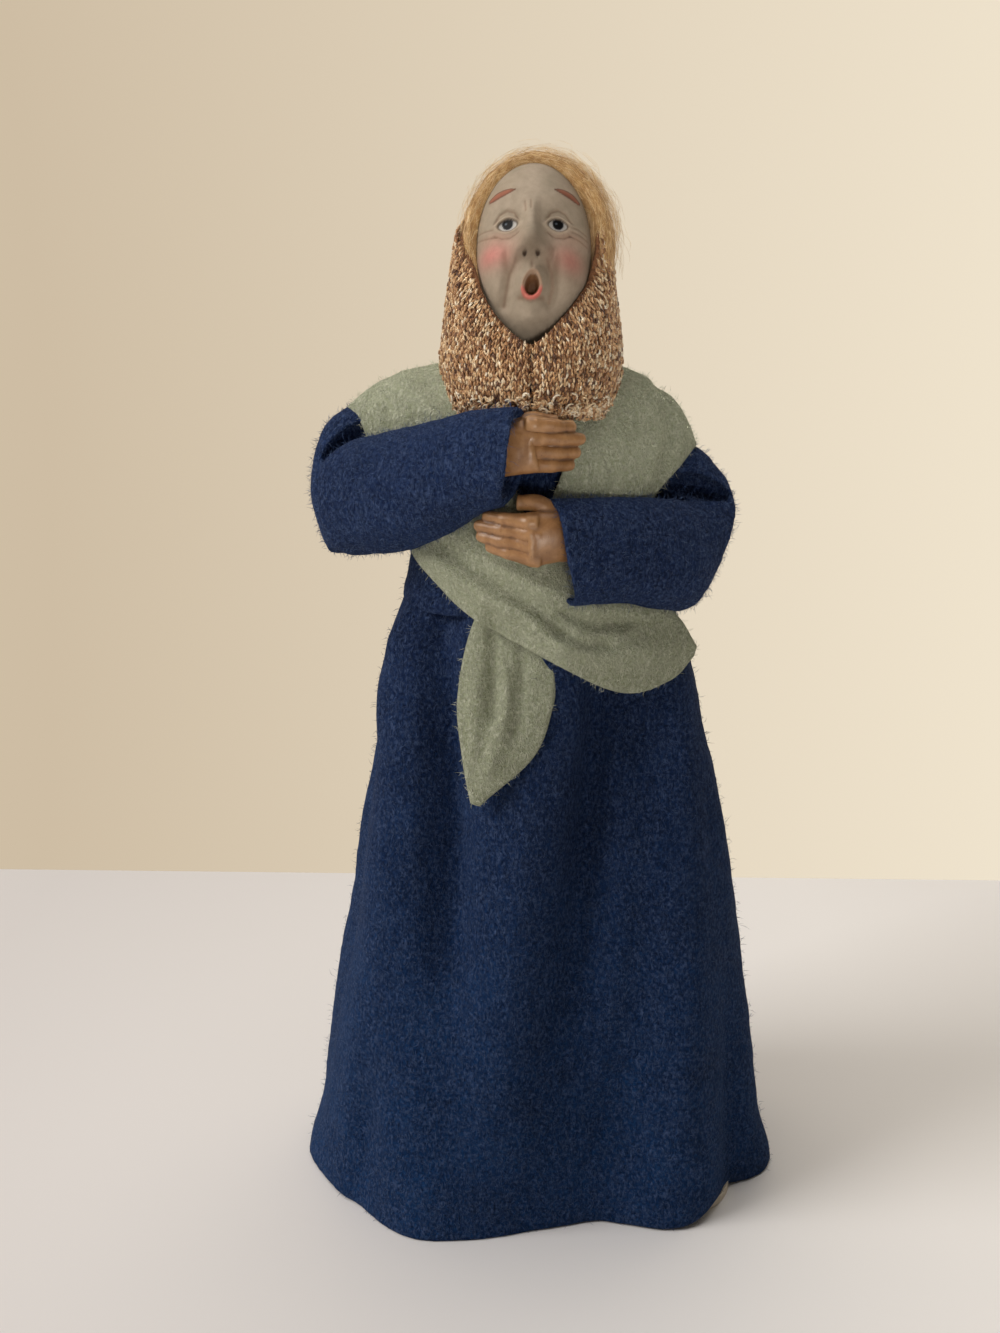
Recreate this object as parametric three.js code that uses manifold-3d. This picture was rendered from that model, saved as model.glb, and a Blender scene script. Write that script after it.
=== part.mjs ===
// A caroler figurine: a singing woman in a felt dress, shawl and knit head scarf.
// Millimetres, +Z up. She faces -Y, and the origin is on the table under the
// middle of the base board.
import * as THREE from 'three';
import { mergeVertices } from 'three/addons/utils/BufferGeometryUtils.js';
import Module from 'manifold-3d';

const wasm = await Module();
wasm.setup();

const { sin, cos, PI, abs, exp, sqrt, sign } = Math;
const RADIANS = PI / 180;

// Driving dimensions
const GAP = 0.35;
const TOLERANCE = 0.14;
const BOARD_WIDTH = 128;
const BOARD_DEPTH = 82;
const BOARD_CORNER = 20;
const BOARD_THICKNESS = 3;
const WAIST_HEIGHT = 200;
const NECK_TOP = 282;
const FELT_THICKNESS = 2.2;
const KNIT_THICKNESS = 3.2;
const CUFF_WALL = 2;
const CUFF_DEPTH = 15;

// Head: half sizes, the place of its centre and how far the face looks up
const HEAD_SIZE = { side: 17.2, front: 19.5, back: 19, up: 26.2, down: 29.5 };
const JAW_FULLNESS = 0.8;
const CHIN_NARROWING = 0.12;
const HEAD_CENTRE = new THREE.Vector3(-3.8, -7, 300.5);
const HEAD_TILT = 15 * RADIANS;
const NECK_RADIUS = 7.5;

// A smooth curve through [position, value] pairs
function profile(keys) {
  const last = keys.length - 1;
  const slope = (j) => {
    const before = keys[Math.max(j - 1, 0)];
    const after = keys[Math.min(j + 1, last)];
    return (after[1] - before[1]) / (after[0] - before[0]);
  };
  return (at) => {
    if (at <= keys[0][0]) return keys[0][1];
    if (at >= keys[last][0]) return keys[last][1];
    let i = 0;
    while (at > keys[i + 1][0]) i += 1;
    const length = keys[i + 1][0] - keys[i][0];
    const t = (at - keys[i][0]) / length;
    const rise = t * t * (3 - 2 * t);
    const start = t * (1 - t) * (1 - t) * slope(i) * length;
    const end = t * t * (t - 1) * slope(i + 1) * length;
    return keys[i][1] * (1 - rise) + keys[i + 1][1] * rise + start + end;
  };
}

// A smooth curve through rows of numbers, at = 0 on the first row and 1 on the last
function throughRows(rows, at) {
  const place = at * (rows.length - 1);
  return rows[0].map((_, column) => profile(rows.map((row, i) => [i, row[column]]))(place));
}

const mix = (a, b, t) => a + (b - a) * t;
const hump = (distance, width) => exp(-((distance / width) ** 2));
const ramp = (at, from, to) => {
  const t = THREE.MathUtils.clamp((at - from) / (to - from), 0, 1);
  return t * t * (3 - 2 * t);
};
const vector = (x, y, z) => new THREE.Vector3(x, y, z);

// A closed solid from points and triangles, turned so that its faces point out
function solidOf(points, triangles) {
  let volume = 0;
  for (const [a, b, c] of triangles) {
    volume += points[a].dot(vector().crossVectors(points[b], points[c]));
  }
  const turned = volume < 0 ? triangles.map(([a, b, c]) => [a, c, b]) : triangles;
  const vertProperties = new Float32Array(points.flatMap((p) => p.toArray()));
  const triVerts = new Uint32Array(turned.flat());
  return new wasm.Manifold(new wasm.Mesh({ numProp: 3, vertProperties, triVerts }));
}

// The wall between successive rings of points
function wallBetween(rings) {
  const count = rings[0].length;
  const triangles = [];
  for (let i = 0; i + 1 < rings.length; i += 1) {
    for (let j = 0; j < count; j += 1) {
      const k = (j + 1) % count;
      const here = i * count;
      const next = here + count;
      triangles.push([here + j, next + k, next + j], [here + j, here + k, next + k]);
    }
  }
  return triangles;
}

// A body through rings, closed at both ends by a fan to the ring's middle
function loft(rings) {
  const count = rings[0].length;
  const middle = (ring) => ring.reduce((sum, p) => sum.add(p), vector(0, 0, 0)).divideScalar(count);
  const points = [...rings.flat(), middle(rings[0]), middle(rings.at(-1))];
  const triangles = wallBetween(rings);
  const lastRing = (rings.length - 1) * count;
  const first = rings.length * count;
  for (let j = 0; j < count; j += 1) {
    const k = (j + 1) % count;
    triangles.push([first, k, j], [first + 1, lastRing + j, lastRing + k]);
  }
  return solidOf(points, triangles);
}

// A strip of cloth through sections, each a row of front points and a row of back points
function stripLoft(sections) {
  const across = sections[0].front.length;
  const rings = sections.map(({ front, back }) => [...front, ...[...back].reverse()]);
  const triangles = wallBetween(rings);
  const cap = (start, flip) => {
    for (let j = 0; j + 1 < across; j += 1) {
      const quad = [j, j + 1, 2 * across - 2 - j, 2 * across - 1 - j].map((n) => start + n);
      const order = flip ? [0, 1, 2, 3] : [3, 2, 1, 0];
      const [a, b, c, d] = order.map((n) => quad[n]);
      triangles.push([a, b, c], [a, c, d]);
    }
  };
  cap(0, false);
  cap((sections.length - 1) * 2 * across, true);
  return solidOf(rings.flat(), triangles);
}

// A solid from a ready geometry class
function solidFrom(geometry) {
  geometry.deleteAttribute('normal');
  geometry.deleteAttribute('uv');
  const merged = mergeVertices(geometry, 1e-4);
  const place = merged.attributes.position;
  const points = Array.from({ length: place.count }, (_, i) => vector().fromBufferAttribute(place, i));
  const index = merged.index.array;
  const triangles = [];
  for (let i = 0; i < index.length; i += 3) triangles.push([index[i], index[i + 1], index[i + 2]]);
  return solidOf(points, triangles);
}

// Cut neighbours away and keep the main body
function cut(solid, ...others) {
  const left = others.reduce((rest, other) => rest.subtract(other), solid);
  return left.decompose().sort((a, b) => b.volume() - a.volume())[0];
}

function meshOf(name, solid, color, roughness) {
  const { vertProperties, triVerts } = solid.simplify(TOLERANCE).getMesh();
  const geometry = new THREE.BufferGeometry();
  geometry.setAttribute('position', new THREE.BufferAttribute(vertProperties, 3));
  geometry.setIndex(new THREE.BufferAttribute(triVerts, 1));
  geometry.computeVertexNormals();
  const material = new THREE.MeshStandardMaterial({ color, roughness, metalness: 0 });
  const mesh = new THREE.Mesh(geometry, material);
  mesh.name = name;
  return mesh;
}

// Base board: thin card with round corners
function baseBoard(grow = 0) {
  const width = BOARD_WIDTH / 2 + grow;
  const depth = BOARD_DEPTH / 2 + grow;
  const corner = BOARD_CORNER + grow;
  const outline = new THREE.Shape();
  outline.absarc(width - corner, corner - depth, corner, -PI / 2, 0);
  outline.absarc(width - corner, depth - corner, corner, 0, PI / 2);
  outline.absarc(corner - width, depth - corner, corner, PI / 2, PI);
  outline.absarc(corner - width, corner - depth, corner, PI, PI * 1.5);
  const thickness = BOARD_THICKNESS + 2 * grow;
  const options = { depth: thickness, bevelEnabled: false, curveSegments: 8 };
  const geometry = new THREE.ExtrudeGeometry(outline, options);
  geometry.translate(0, 0, -grow);
  return solidFrom(geometry);
}

// Skirt: an oval cone. Its folds are ridges and valleys that run down it, each placed by
// its turn from the front in degrees and its depth, at the waist, mid height and hem.
const skirtMiddle = profile([[0, 0], [55, 0.2], [128, 0.7], [170, -0.5], [200, -2]]);
const skirtHalfWidth = profile([
  [0, 77.8], [15, 76.2], [55, 70.6], [98, 63.6], [128, 58.4], [170, 50.6], [190, 44.5], [200, 40],
]);
const skirtHalfDepth = profile([
  [0, 51.5], [55, 48], [98, 45], [128, 42.8], [170, 38.5], [190, 34.5], [200, 31],
]);
const SKIRT_SQUARENESS = 0.88;
const SKIRT_FOLDS = [
  { turn: [-70, -53, -50], depth: [2.5, 4.2, 1.5], width: 13 },
  { turn: [-40, -28, -18], depth: [-3.8, -5.6, 0.4], width: 9 },
  { turn: [6, -2, -6], depth: [2.6, 4.4, 0.8], width: 10 },
  { turn: [-30, -30, -26], depth: [0, 0.5, 8], width: 15 },
  { turn: [26, 9, 0], depth: [-4.6, -6.2, -1.5], width: 9 },
  { turn: [38, 30, 12], depth: [-4.4, -1.5, -5.5], width: 10 },
  { turn: [56, 46, 34], depth: [2, 3, 4], width: 11 },
  { turn: [82, 68, 58], depth: [0.5, 0.5, -5.5], width: 10 },
  { turn: [-88, -85, -80], depth: [1, -3.2, 0], width: 8 },
  { turn: [-106, -102, -104], depth: [0, 3.2, 2], width: 10 },
  { turn: [106, 108, 108], depth: [-1, -2, -3], width: 10 },
  { turn: [130, 132, 134], depth: [1.5, 2.5, 3.5], width: 12 },
  { turn: [156, 157, 158], depth: [-1.5, -2.5, -3.5], width: 12 },
  { turn: [180, 181, 182], depth: [1.5, 2, 3], width: 12 },
  { turn: [-157, -156, -156], depth: [-1.5, -2.5, -3.5], width: 12 },
  { turn: [-130, -131, -132], depth: [1.5, 2.5, 3.5], width: 12 },
];
// Bulges and dents: turn, height, depth, width round the skirt, reach up and down
const SKIRT_BULGES = [
  [-80, 167, 2.4, 18, 17], [-86, 150, -2, 24, 24], [-84, 90, -2.2, 22, 20], [-84, 2, 3, 14, 10],
  [82, 2, 3, 12, 10], [80, 160, -2.2, 14, 24], [-46, 26, -3.2, 6, 22], [36, 160, -3.6, 12, 22],
  [66, 120, 1.6, 9, 60], [-62, 188, 2, 12, 7], [-20, 176, -1.6, 8, 14], [-10, 60, 1.5, 22, 26],
];
const HEM_LIFT = { turn: 47, height: 3.8, width: 12 };

function skirtFold(turn, z) {
  const down = 1 - z / WAIST_HEIGHT;
  let depth = 0;
  for (const fold of SKIRT_FOLDS) {
    const along = (values) => profile([[0, values[0]], [0.4, values[1]], [1, values[2]]])(down);
    const distance = ((turn - along(fold.turn) + 540) % 360) - 180;
    depth += along(fold.depth) * hump(distance, fold.width);
  }
  for (const [where, at, deep, width, reach] of SKIRT_BULGES) {
    const distance = ((turn - where + 540) % 360) - 180;
    depth += deep * hump(distance, width) * hump(z - at, reach);
  }
  return depth;
}

function skirtPoint(turn, z) {
  const a = skirtHalfWidth(z);
  const b = skirtHalfDepth(z);
  const t = turn * RADIANS;
  const round = (value) => sign(value) * abs(value) ** SKIRT_SQUARENESS;
  const outward = vector(sin(t) / a, -cos(t) / b, 0).normalize();
  const point = vector(skirtMiddle(z) + a * round(sin(t)), -b * round(cos(t)), z);
  return point.addScaledVector(outward, skirtFold(turn, z));
}

function skirt() {
  const AROUND = 54;
  const LEVELS = 13;
  const rings = [];
  for (let i = 0; i <= LEVELS; i += 1) {
    const z = WAIST_HEIGHT * (i / LEVELS);
    const ring = [];
    for (let j = 0; j < AROUND; j += 1) {
      const turn = -180 + (360 * j) / AROUND;
      const point = skirtPoint(turn, z);
      if (i === 0) point.z = HEM_LIFT.height * hump(turn - HEM_LIFT.turn, HEM_LIFT.width);
      ring.push(point);
    }
    rings.push(ring);
  }
  return loft(rings);
}

// Bodice: the body from waist to neck
const bodiceMiddle = profile([[200, -2], [230, -3.5], [272, -4]]);
const bodiceHalfWidth = profile([
  [200, 40.6], [206, 40.2], [215, 38.5], [230, 39], [245, 40], [255, 37], [261, 30], [266, 21], [271, 12],
]);
const bodiceHalfDepth = profile([
  [200, 30.8], [206, 30.2], [215, 29.2], [230, 29], [240, 28], [250, 24.5], [258, 19.5], [264, 15.5], [271, 11],
]);

function bodice(grow = 0) {
  const LEVELS = [200.3, 204, 210, 218, 230, 242, 250, 256, 261, 266, 271];
  const rings = LEVELS.map((z, i) => {
    const ring = [];
    const end = i === 0 ? -grow : i === LEVELS.length - 1 ? grow : 0;
    const AROUND = 22;
    for (let j = 0; j < AROUND; j += 1) {
      const t = (2 * PI * j) / AROUND;
      const round = (value) => sign(value) * abs(value) ** 0.86;
      const x = bodiceMiddle(z) + (bodiceHalfWidth(z) + grow) * round(sin(t));
      ring.push(vector(x, -(bodiceHalfDepth(z) + grow) * round(cos(t)), z + end));
    }
    return ring;
  });
  return loft(rings);
}

// An oval tube along rows of [x, y, z of the middle, half height, half depth]. The upper side
// of its last ring may stand out past the lower one by twice the slant, and the side that
// faces forward by the reach. The start does for the first ring what the slant does.
const PLAIN_END = { slant: 0, reach: 0, start: 0 };

function ovalTube(rows, grow = 0, steps = 3, around = 16, edge = PLAIN_END) {
  const count = (rows.length - 1) * steps;
  const at = (i) => throughRows(rows, THREE.MathUtils.clamp(i / count, 0, 1));
  const rings = [];
  const up = vector(0, 0, 1);
  for (let i = 0; i <= count; i += 1) {
    const [x, y, z, height, depth] = at(i);
    const before = at(i - 0.5);
    const after = at(i + 0.5);
    const way = vector(after[0] - before[0], after[1] - before[1], after[2] - before[2]).normalize();
    up.addScaledVector(way, -up.dot(way)).normalize();
    const side = vector().crossVectors(way, up);
    const end = i === 0 ? -grow : i === count ? grow : 0;
    const ring = [];
    for (let j = 0; j < around; j += 1) {
      const t = (2 * PI * j) / around;
      const point = vector(x, y, z).addScaledVector(way, end);
      const front = Math.max(0, -Math.sign(side.y) * sin(t)) ** 2;
      point.addScaledVector(way, ramp(i / count, 0.62, 1) * (edge.slant * cos(t) + edge.reach * front));
      point.addScaledVector(way, -ramp(1 - i / count, 0.66, 1) * edge.start * cos(t));
      point.addScaledVector(up, (height + grow) * cos(t));
      ring.push(point.addScaledVector(side, (depth + grow) * sin(t)));
    }
    rings.push(ring);
  }
  return loft(rings);
}

// Sleeves: an upper arm that comes down to the elbow and a forearm that crosses the chest.
// Each forearm starts with its round elbow end and stops at the open cuff.
const RIGHT_UPPER = [
  [-34, 4, 243, 14, 11],
  [-48, 3, 243.8, 16.2, 12],
  [-57, 0.5, 241.6, 14.2, 11.5],
  [-61.2, -5, 233, 10.2, 10.5],
  [-60.2, -11, 222, 7, 10],
  [-60.2, -14.5, 213.2, 3.8, 6],
];
const RIGHT_FOREARM = [
  [-64.2, -11, 226.6, 9, 5],
  [-61, -13.5, 227, 15, 10],
  [-53, -18.5, 230.6, 17.4, 12],
  [-43, -25.5, 233.6, 17.6, 12],
  [-33, -32, 237.4, 16.4, 11],
  [-21, -38.5, 242.4, 14.6, 10.2],
  [-9.6, -44.5, 245.6, 12.8, 9.6],
];
const LEFT_UPPER = [
  [26, 4, 236, 12, 10],
  [37, 3, 234.4, 13, 11.5],
  [44.4, 0, 230.8, 12, 11],
  [49.6, -5, 225.5, 8.8, 10],
  [46, -11, 211, 6, 9],
  [42.2, -15.5, 199, 3.4, 6],
];
const LEFT_FOREARM = [
  [52.2, -10.5, 213.2, 14, 5],
  [46.4, -14, 213, 15.6, 9],
  [39.8, -19, 213.2, 16.8, 11.5],
  [33.5, -25, 214.8, 16.8, 12],
  [25, -31, 217, 15.8, 11],
  [15, -37.5, 217.8, 15.4, 10],
  [4.8, -43, 218.2, 15.4, 9.6],
];

// The deep crease that opens at the inside of each bent elbow
const RIGHT_CREASE = [
  [-67, -13, 241, 1.8, 3.4],
  [-61, -11, 245.6, 3.2, 6],
  [-55, -11.5, 249.4, 3, 6],
  [-49, -14, 252, 1.2, 2.4],
];
const LEFT_CREASE = [
  [56, -9.5, 229.6, 1.6, 3.4],
  [50.5, -8.5, 231.8, 3.4, 7],
  [44, -9.5, 233.6, 3.6, 7.5],
  [36.5, -13, 234.6, 1.3, 3],
];

// How far the upper edge and the front of each cuff reach past the middle of its opening,
// and how far the top of the elbow stands out
const RIGHT_CUFF = { slant: 5.2, reach: 4.2, start: 0 };
const LEFT_CUFF = { slant: 3.4, reach: 3, start: 6.8 };

function cuffHollow(forearm, edge) {
  const cuff = forearm.at(-1);
  const before = forearm.at(-2);
  const way = vector(...cuff.slice(0, 3)).sub(vector(...before.slice(0, 3))).normalize();
  const row = (along) => {
    const middle = vector(...cuff.slice(0, 3)).addScaledVector(way, along);
    return [...middle.toArray(), cuff[3] - CUFF_WALL, cuff[4] - CUFF_WALL];
  };
  return ovalTube([row(-CUFF_DEPTH), row(2 + edge.slant)], 0, 1);
}

function sleeve(upper, forearm, edge, pocket) {
  const lower = ovalTube(forearm, 0, 1, 14, edge);
  const arm = ovalTube(upper, 0, 1, 12).add(lower);
  return arm.subtract(cuffHollow(forearm, edge)).subtract(ovalTube(pocket, 0, 1, 8));
}

// Shawl: one long strip. Rows go from the free corner at the waist, across the front and
// round both shoulders, to the tip of the tail: neck-side edge, outer edge, bulge between.
const SHAWL_ROWS = [
  [45.8, -20.5, 185.6, 45, -22, 183.4, 0],
  [39.5, -24, 195.5, 37.4, -29.4, 178.2, 1],
  [28, -28.5, 205, 23.5, -35.8, 176.4, 2.5],
  [5, -36, 215, 4, -41, 186, 1.5],
  [-7, -34, 229, -25, -34.5, 202, 2.5],
  [-10, -30.5, 246, -43, -19, 222, 3.5],
  [-12, -20, 261, -54, -8, 250, 3.5],
  [-21, -4, 268.5, -59.5, 3, 254.5, 4.6],
  [-17, 12, 269, -44, 25, 231, 4.5],
  [-4, 16.5, 268.5, -4, 34, 207, 3],
  [9.5, 12, 269, 33, 25, 226, 4.5],
  [13.5, -4, 268.5, 45.5, 3, 244.5, 7],
  [5, -20, 261, 40.5, -9, 240, 5],
  [7, -30, 245, 32, -21, 231.5, 3],
  [-1.6, -32.6, 222.6, 21, -31, 210, 1.5],
  [-18.6, -32.4, 198, 4.5, -36.4, 187.5, 1],
  [-24.2, -39, 175, 2.2, -41.2, 173.5, 1.5],
  [-22.8, -42.6, 157, -3.4, -43.8, 158, 1],
  [-20.4, -44.4, 143.4, -19.2, -44.4, 143, 0],
];

function shawlSection(at, grow, across) {
  const here = throughRows(SHAWL_ROWS, at);
  const step = 0.006;
  const before = throughRows(SHAWL_ROWS, Math.max(at - step, 0));
  const after = throughRows(SHAWL_ROWS, Math.min(at + step, 1));
  const inner = vector(...here.slice(0, 3));
  const outer = vector(...here.slice(3, 6));
  const wide = vector().subVectors(outer, inner).normalize();
  const middle = (row) => vector(row[0] + row[3], row[1] + row[4], row[2] + row[5]).multiplyScalar(0.5);
  const way = middle(after).sub(middle(before)).normalize();
  const out = vector().crossVectors(way, wide).normalize();
  const end = (at === 0 ? -grow : at === 1 ? grow : 0);
  const front = [];
  const back = [];
  for (let j = 0; j <= across; j += 1) {
    const v = j / across;
    const bulge = 4 * v * (1 - v) * here[6];
    const point = inner.clone().lerp(outer, v).addScaledVector(wide, grow * (2 * v - 1));
    point.addScaledVector(out, bulge).addScaledVector(way, end);
    front.push(point.clone().addScaledVector(out, FELT_THICKNESS / 2 + grow));
    back.push(point.clone().addScaledVector(out, -FELT_THICKNESS / 2 - grow));
  }
  return { front, back };
}

function shawl(grow = 0) {
  const SECTIONS = 38;
  const sections = [];
  for (let i = 0; i <= SECTIONS; i += 1) sections.push(shawlSection(i / SECTIONS, grow, 5));
  return stripLoft(sections);
}

// Head scarf: a thick knit shell that starts at the slit under the chin, goes round the
// head and comes back to the slit. The turn runs from 0 to 360 degrees over the left side.
const CHIN_EDGE = 275.2;
const SCARF_MIDDLE = vector(-4.2, -8, 0);
const scarfHalfWidth = profile([
  [255, 24.4], [261, 25.7], [266, 26.6], [273, 27], [288, 25.2], [296, 24], [305, 22.4], [312, 20.4],
  [319, 16.5],
]);
const scarfFrontDepth = profile([[255, 28], [262, 30], [268, 29], [275, 25.5], [285, 24], [300, 23]]);
const scarfBackDepth = profile([
  [262, 26], [275, 28.5], [290, 30.5], [305, 29.5], [312, 27], [319, 22],
]);

function scarfPoint(turn, z, inset) {
  const t = turn * RADIANS;
  const depth = mix(scarfFrontDepth(z), scarfBackDepth(z), ramp(-cos(t), -0.35, 0.35)) - inset;
  return vector(
    SCARF_MIDDLE.x - (scarfHalfWidth(z) - inset) * sin(t),
    SCARF_MIDDLE.y - depth * cos(t),
    z,
  );
}

// Height of the edge round the face by degrees from the chin, on either side
const scarfTopLeft = profile([
  [0, CHIN_EDGE], [10, 277.8], [23, 281.2], [35, 285.2], [46, 289.6], [57, 294.4],
  [67, 298.8], [77, 303.6], [90, 308], [110, 311.5], [180, 318],
]);
const scarfTopRight = profile([
  [0, CHIN_EDGE], [12, 278.6], [27, 283.2], [44, 288.6], [60, 293.4], [70, 300.4],
  [79, 307.2], [96, 311], [130, 313.5], [180, 318],
]);

function scarfEdges(turn) {
  const fromFront = Math.min(turn, 360 - turn);
  const top = turn < 180 ? scarfTopLeft(fromFront) : scarfTopRight(fromFront);
  const bottom = 255.5 + 15.3 * ramp(fromFront, 66, 97) + 1.6 * hump(fromFront, 5);
  return [bottom, top];
}

function knitScarf(grow = 0) {
  const SECTIONS = 36;
  const LEVELS = 5;
  const SLIT = 1.4;
  const sections = [];
  for (let i = 0; i <= SECTIONS; i += 1) {
    const turn = mix(SLIT, 360 - SLIT, i / SECTIONS) + (i === 0 ? -grow : i === SECTIONS ? grow : 0);
    const [bottom, top] = scarfEdges(turn);
    const front = [];
    const back = [];
    for (let j = 0; j <= LEVELS; j += 1) {
      const z = mix(bottom - grow, top + grow, j / LEVELS);
      const rounding = 0.9 * abs(2 * (j / LEVELS) - 1) ** 6;
      front.push(scarfPoint(turn, z, rounding - grow));
      back.push(scarfPoint(turn, z, KNIT_THICKNESS - rounding + grow));
    }
    sections.push({ front, back });
  }
  return stripLoft(sections);
}

// Head: an egg with a face. Places on the face are in millimetres from its middle,
// x to the viewer's right and z up along the face.
const FACE = {
  middle: -0.5,
  eye: { x: 7.1, z: 3.3, depth: -1.7 },
  brow: { x: 8.8, z: 12.6, depth: 0.9 },
  nose: { tipZ: -3.6, bridgeZ: 3, depth: 5.8 },
  cheek: { x: 10.4, z: -6.4, depth: 2 },
  lips: { z: -13.9, halfWidth: 4.2, halfHeight: 5, depth: 1.5 },
  mouth: { halfWidth: 2.3, halfHeight: 3, depth: -4.5 },
  chin: { z: -22, depth: 1.8 },
};

function faceRelief(x, z) {
  const side = abs(x);
  const { middle, eye, brow, nose, cheek, lips, mouth, chin } = FACE;
  const across = x - middle;
  let depth = eye.depth * hump(side - eye.x, 3.6) * hump(z - eye.z, 3);
  depth += brow.depth * hump(side - brow.x, 6) * hump(z - brow.z, 2.6);
  depth += cheek.depth * hump(side - cheek.x, 4.5) * hump(z - cheek.z, 6);
  depth += chin.depth * hump(x, 5) * hump(z - chin.z, 4);
  const along = THREE.MathUtils.clamp((nose.bridgeZ - z) / (nose.bridgeZ - nose.tipZ), 0, 1);
  const belowTip = Math.max(nose.tipZ - z, 0);
  const aboveBridge = Math.max(z - nose.bridgeZ, 0);
  const ridge = nose.depth * (0.3 + 0.7 * along) * hump(belowTip, 2.6) * hump(aboveBridge, 4);
  depth += ridge * hump(across, 2 + 1.2 * along);
  depth += 0.35 * nose.depth * hump(abs(across) - 3.6, 1.4) * hump(z - nose.tipZ + 1.4, 2);
  const fromLips = sqrt((across / lips.halfWidth) ** 2 + ((z - lips.z) / lips.halfHeight) ** 2);
  depth += lips.depth * hump(fromLips - 0.85, 0.3);
  const fromMouth = sqrt((across / mouth.halfWidth) ** 2 + ((z - lips.z) / mouth.halfHeight) ** 2);
  depth += mouth.depth * (1 - ramp(fromMouth, 0.75, 1.15));
  return depth;
}

function headPoint(round, height, grow) {
  const depthSize = cos(round) > 0 ? HEAD_SIZE.front : HEAD_SIZE.back;
  const level = sin(height);
  const upSize = level < 0 ? HEAD_SIZE.down : HEAD_SIZE.up;
  const chinTaper = 1 - CHIN_NARROWING * ramp(-level, 0.35, 1);
  const wide = cos(height) ** (level < 0 ? JAW_FULLNESS : 1) * chinTaper;
  const x = HEAD_SIZE.side * sin(round) * wide;
  const y = -depthSize * cos(round) * wide;
  const z = upSize * level;
  const facing = cos(round) > 0 ? faceRelief(x, z) * ramp(cos(round), 0.1, 0.5) : 0;
  const out = vector(x / HEAD_SIZE.side ** 2, y / depthSize ** 2, z / upSize ** 2).normalize();
  out.multiplyScalar(grow);
  return vector(x, y - facing, z).add(out);
}

const headPlace = new THREE.Matrix4().makeRotationX(-HEAD_TILT).setPosition(HEAD_CENTRE);

function skull(grow, around, levels) {
  const rings = [];
  for (let i = 0; i <= levels; i += 1) {
    const spread = (2 * i) / levels - 1;
    const height = (PI / 2) * 0.985 * (0.72 * spread + 0.28 * spread ** 3);
    const ring = [];
    for (let j = 0; j < around; j += 1) {
      const turn = (2 * j) / around - 1;
      const round = PI * (0.5 * turn + 0.5 * turn ** 3);
      ring.push(headPoint(round, height, grow).applyMatrix4(headPlace));
    }
    rings.push(ring);
  }
  return loft(rings);
}

function neck(grow = 0) {
  const radius = NECK_RADIUS + grow;
  const { x, y } = HEAD_CENTRE;
  return ovalTube([
    [x, y + 4.2, 264 - grow, radius, radius],
    [x, y + 2, NECK_TOP + 4, radius + 1, radius + 1],
  ], 0, 1, 12);
}

function head(grow = 0) {
  return skull(grow, 34, 21).add(neck(grow));
}

// The room that what lies on the head leaves for it
const headRoom = () => skull(1, 22, 13).add(neck(0.8));

// Hair: a cap that ends in a soft roll round the face
const HAIR_ROLL = { side: 19, up: 25.4, radius: 3.2, forward: -3, shift: 1 };

function hair() {
  const cap = solidFrom(new THREE.SphereGeometry(1, 16, 10)
    .scale(21, 20.5, 28.4).translate(HAIR_ROLL.shift, 3, 0.4));
  const FACE_CUT = 60;
  const opening = solidFrom(new THREE.BoxGeometry(FACE_CUT, FACE_CUT, FACE_CUT)
    .translate(0, HAIR_ROLL.forward - FACE_CUT / 2, 0));
  const thick = 0.145;
  const roll = solidFrom(new THREE.TorusGeometry(1, thick, 6, 20).rotateX(PI / 2)
    .scale(HAIR_ROLL.side, HAIR_ROLL.radius / thick, HAIR_ROLL.up)
    .translate(HAIR_ROLL.shift, HAIR_ROLL.forward, 0.6));
  const below = solidFrom(new THREE.BoxGeometry(FACE_CUT, 2 * FACE_CUT, 2 * FACE_CUT)
    .translate(0, 0, -FACE_CUT - 11));
  const inPlace = cap.subtract(opening).add(roll).subtract(below);
  return inPlace.transform(headPlace.elements);
}

// Hands: a palm seen from its back, four fingers in a row and a thumb
const FINGER_RADIUS = [2.25, 2.0, 1.65];
const RIGHT_HAND = {
  wrist: [-17, -40.5, 243.5],
  palm: [-9, -44.2, 247.5],
  knuckles: [-3.6, -45, 249],
  fan: 3.65,
  lean: -0.6,
  tips: [[8.4, -39.5, 253.4], [11.2, -38.8, 250], [9.9, -38.8, 246.3], [8.2, -39.4, 242.9]],
  bend: -1.4,
  thumb: [[-9, -42, 252.5], [-4, -40.8, 255.2], [2, -39.6, 254.6]],
};
const LEFT_HAND = {
  wrist: [14, -37.5, 219],
  palm: [4.5, -44.5, 223.2],
  knuckles: [-4.5, -46.6, 222.8],
  fan: 3.35,
  lean: 0.3,
  tips: [[-17.6, -40.6, 228.6], [-20, -40.2, 226], [-19.4, -40.8, 223.1], [-16.6, -42, 220.4]],
  bend: -1.2,
  thumb: [[4.5, -42.5, 228.4], [-2, -42.8, 232.4], [-6.8, -42.6, 232.6]],
};

function limb(points, radii, grow) {
  const rows = points.map((point, i) => [...point, radii[i], radii[i]]);
  const tip = vector(...points.at(-1));
  const way = tip.clone().sub(vector(...points.at(-2))).normalize();
  const radius = radii.at(-1);
  for (const [along, size] of [[0.6, 0.78], [0.95, 0.3]]) {
    const point = tip.clone().addScaledVector(way, along * radius);
    rows.push([...point.toArray(), size * radius, size * radius]);
  }
  return ovalTube(rows, grow, 1, 6);
}

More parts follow.
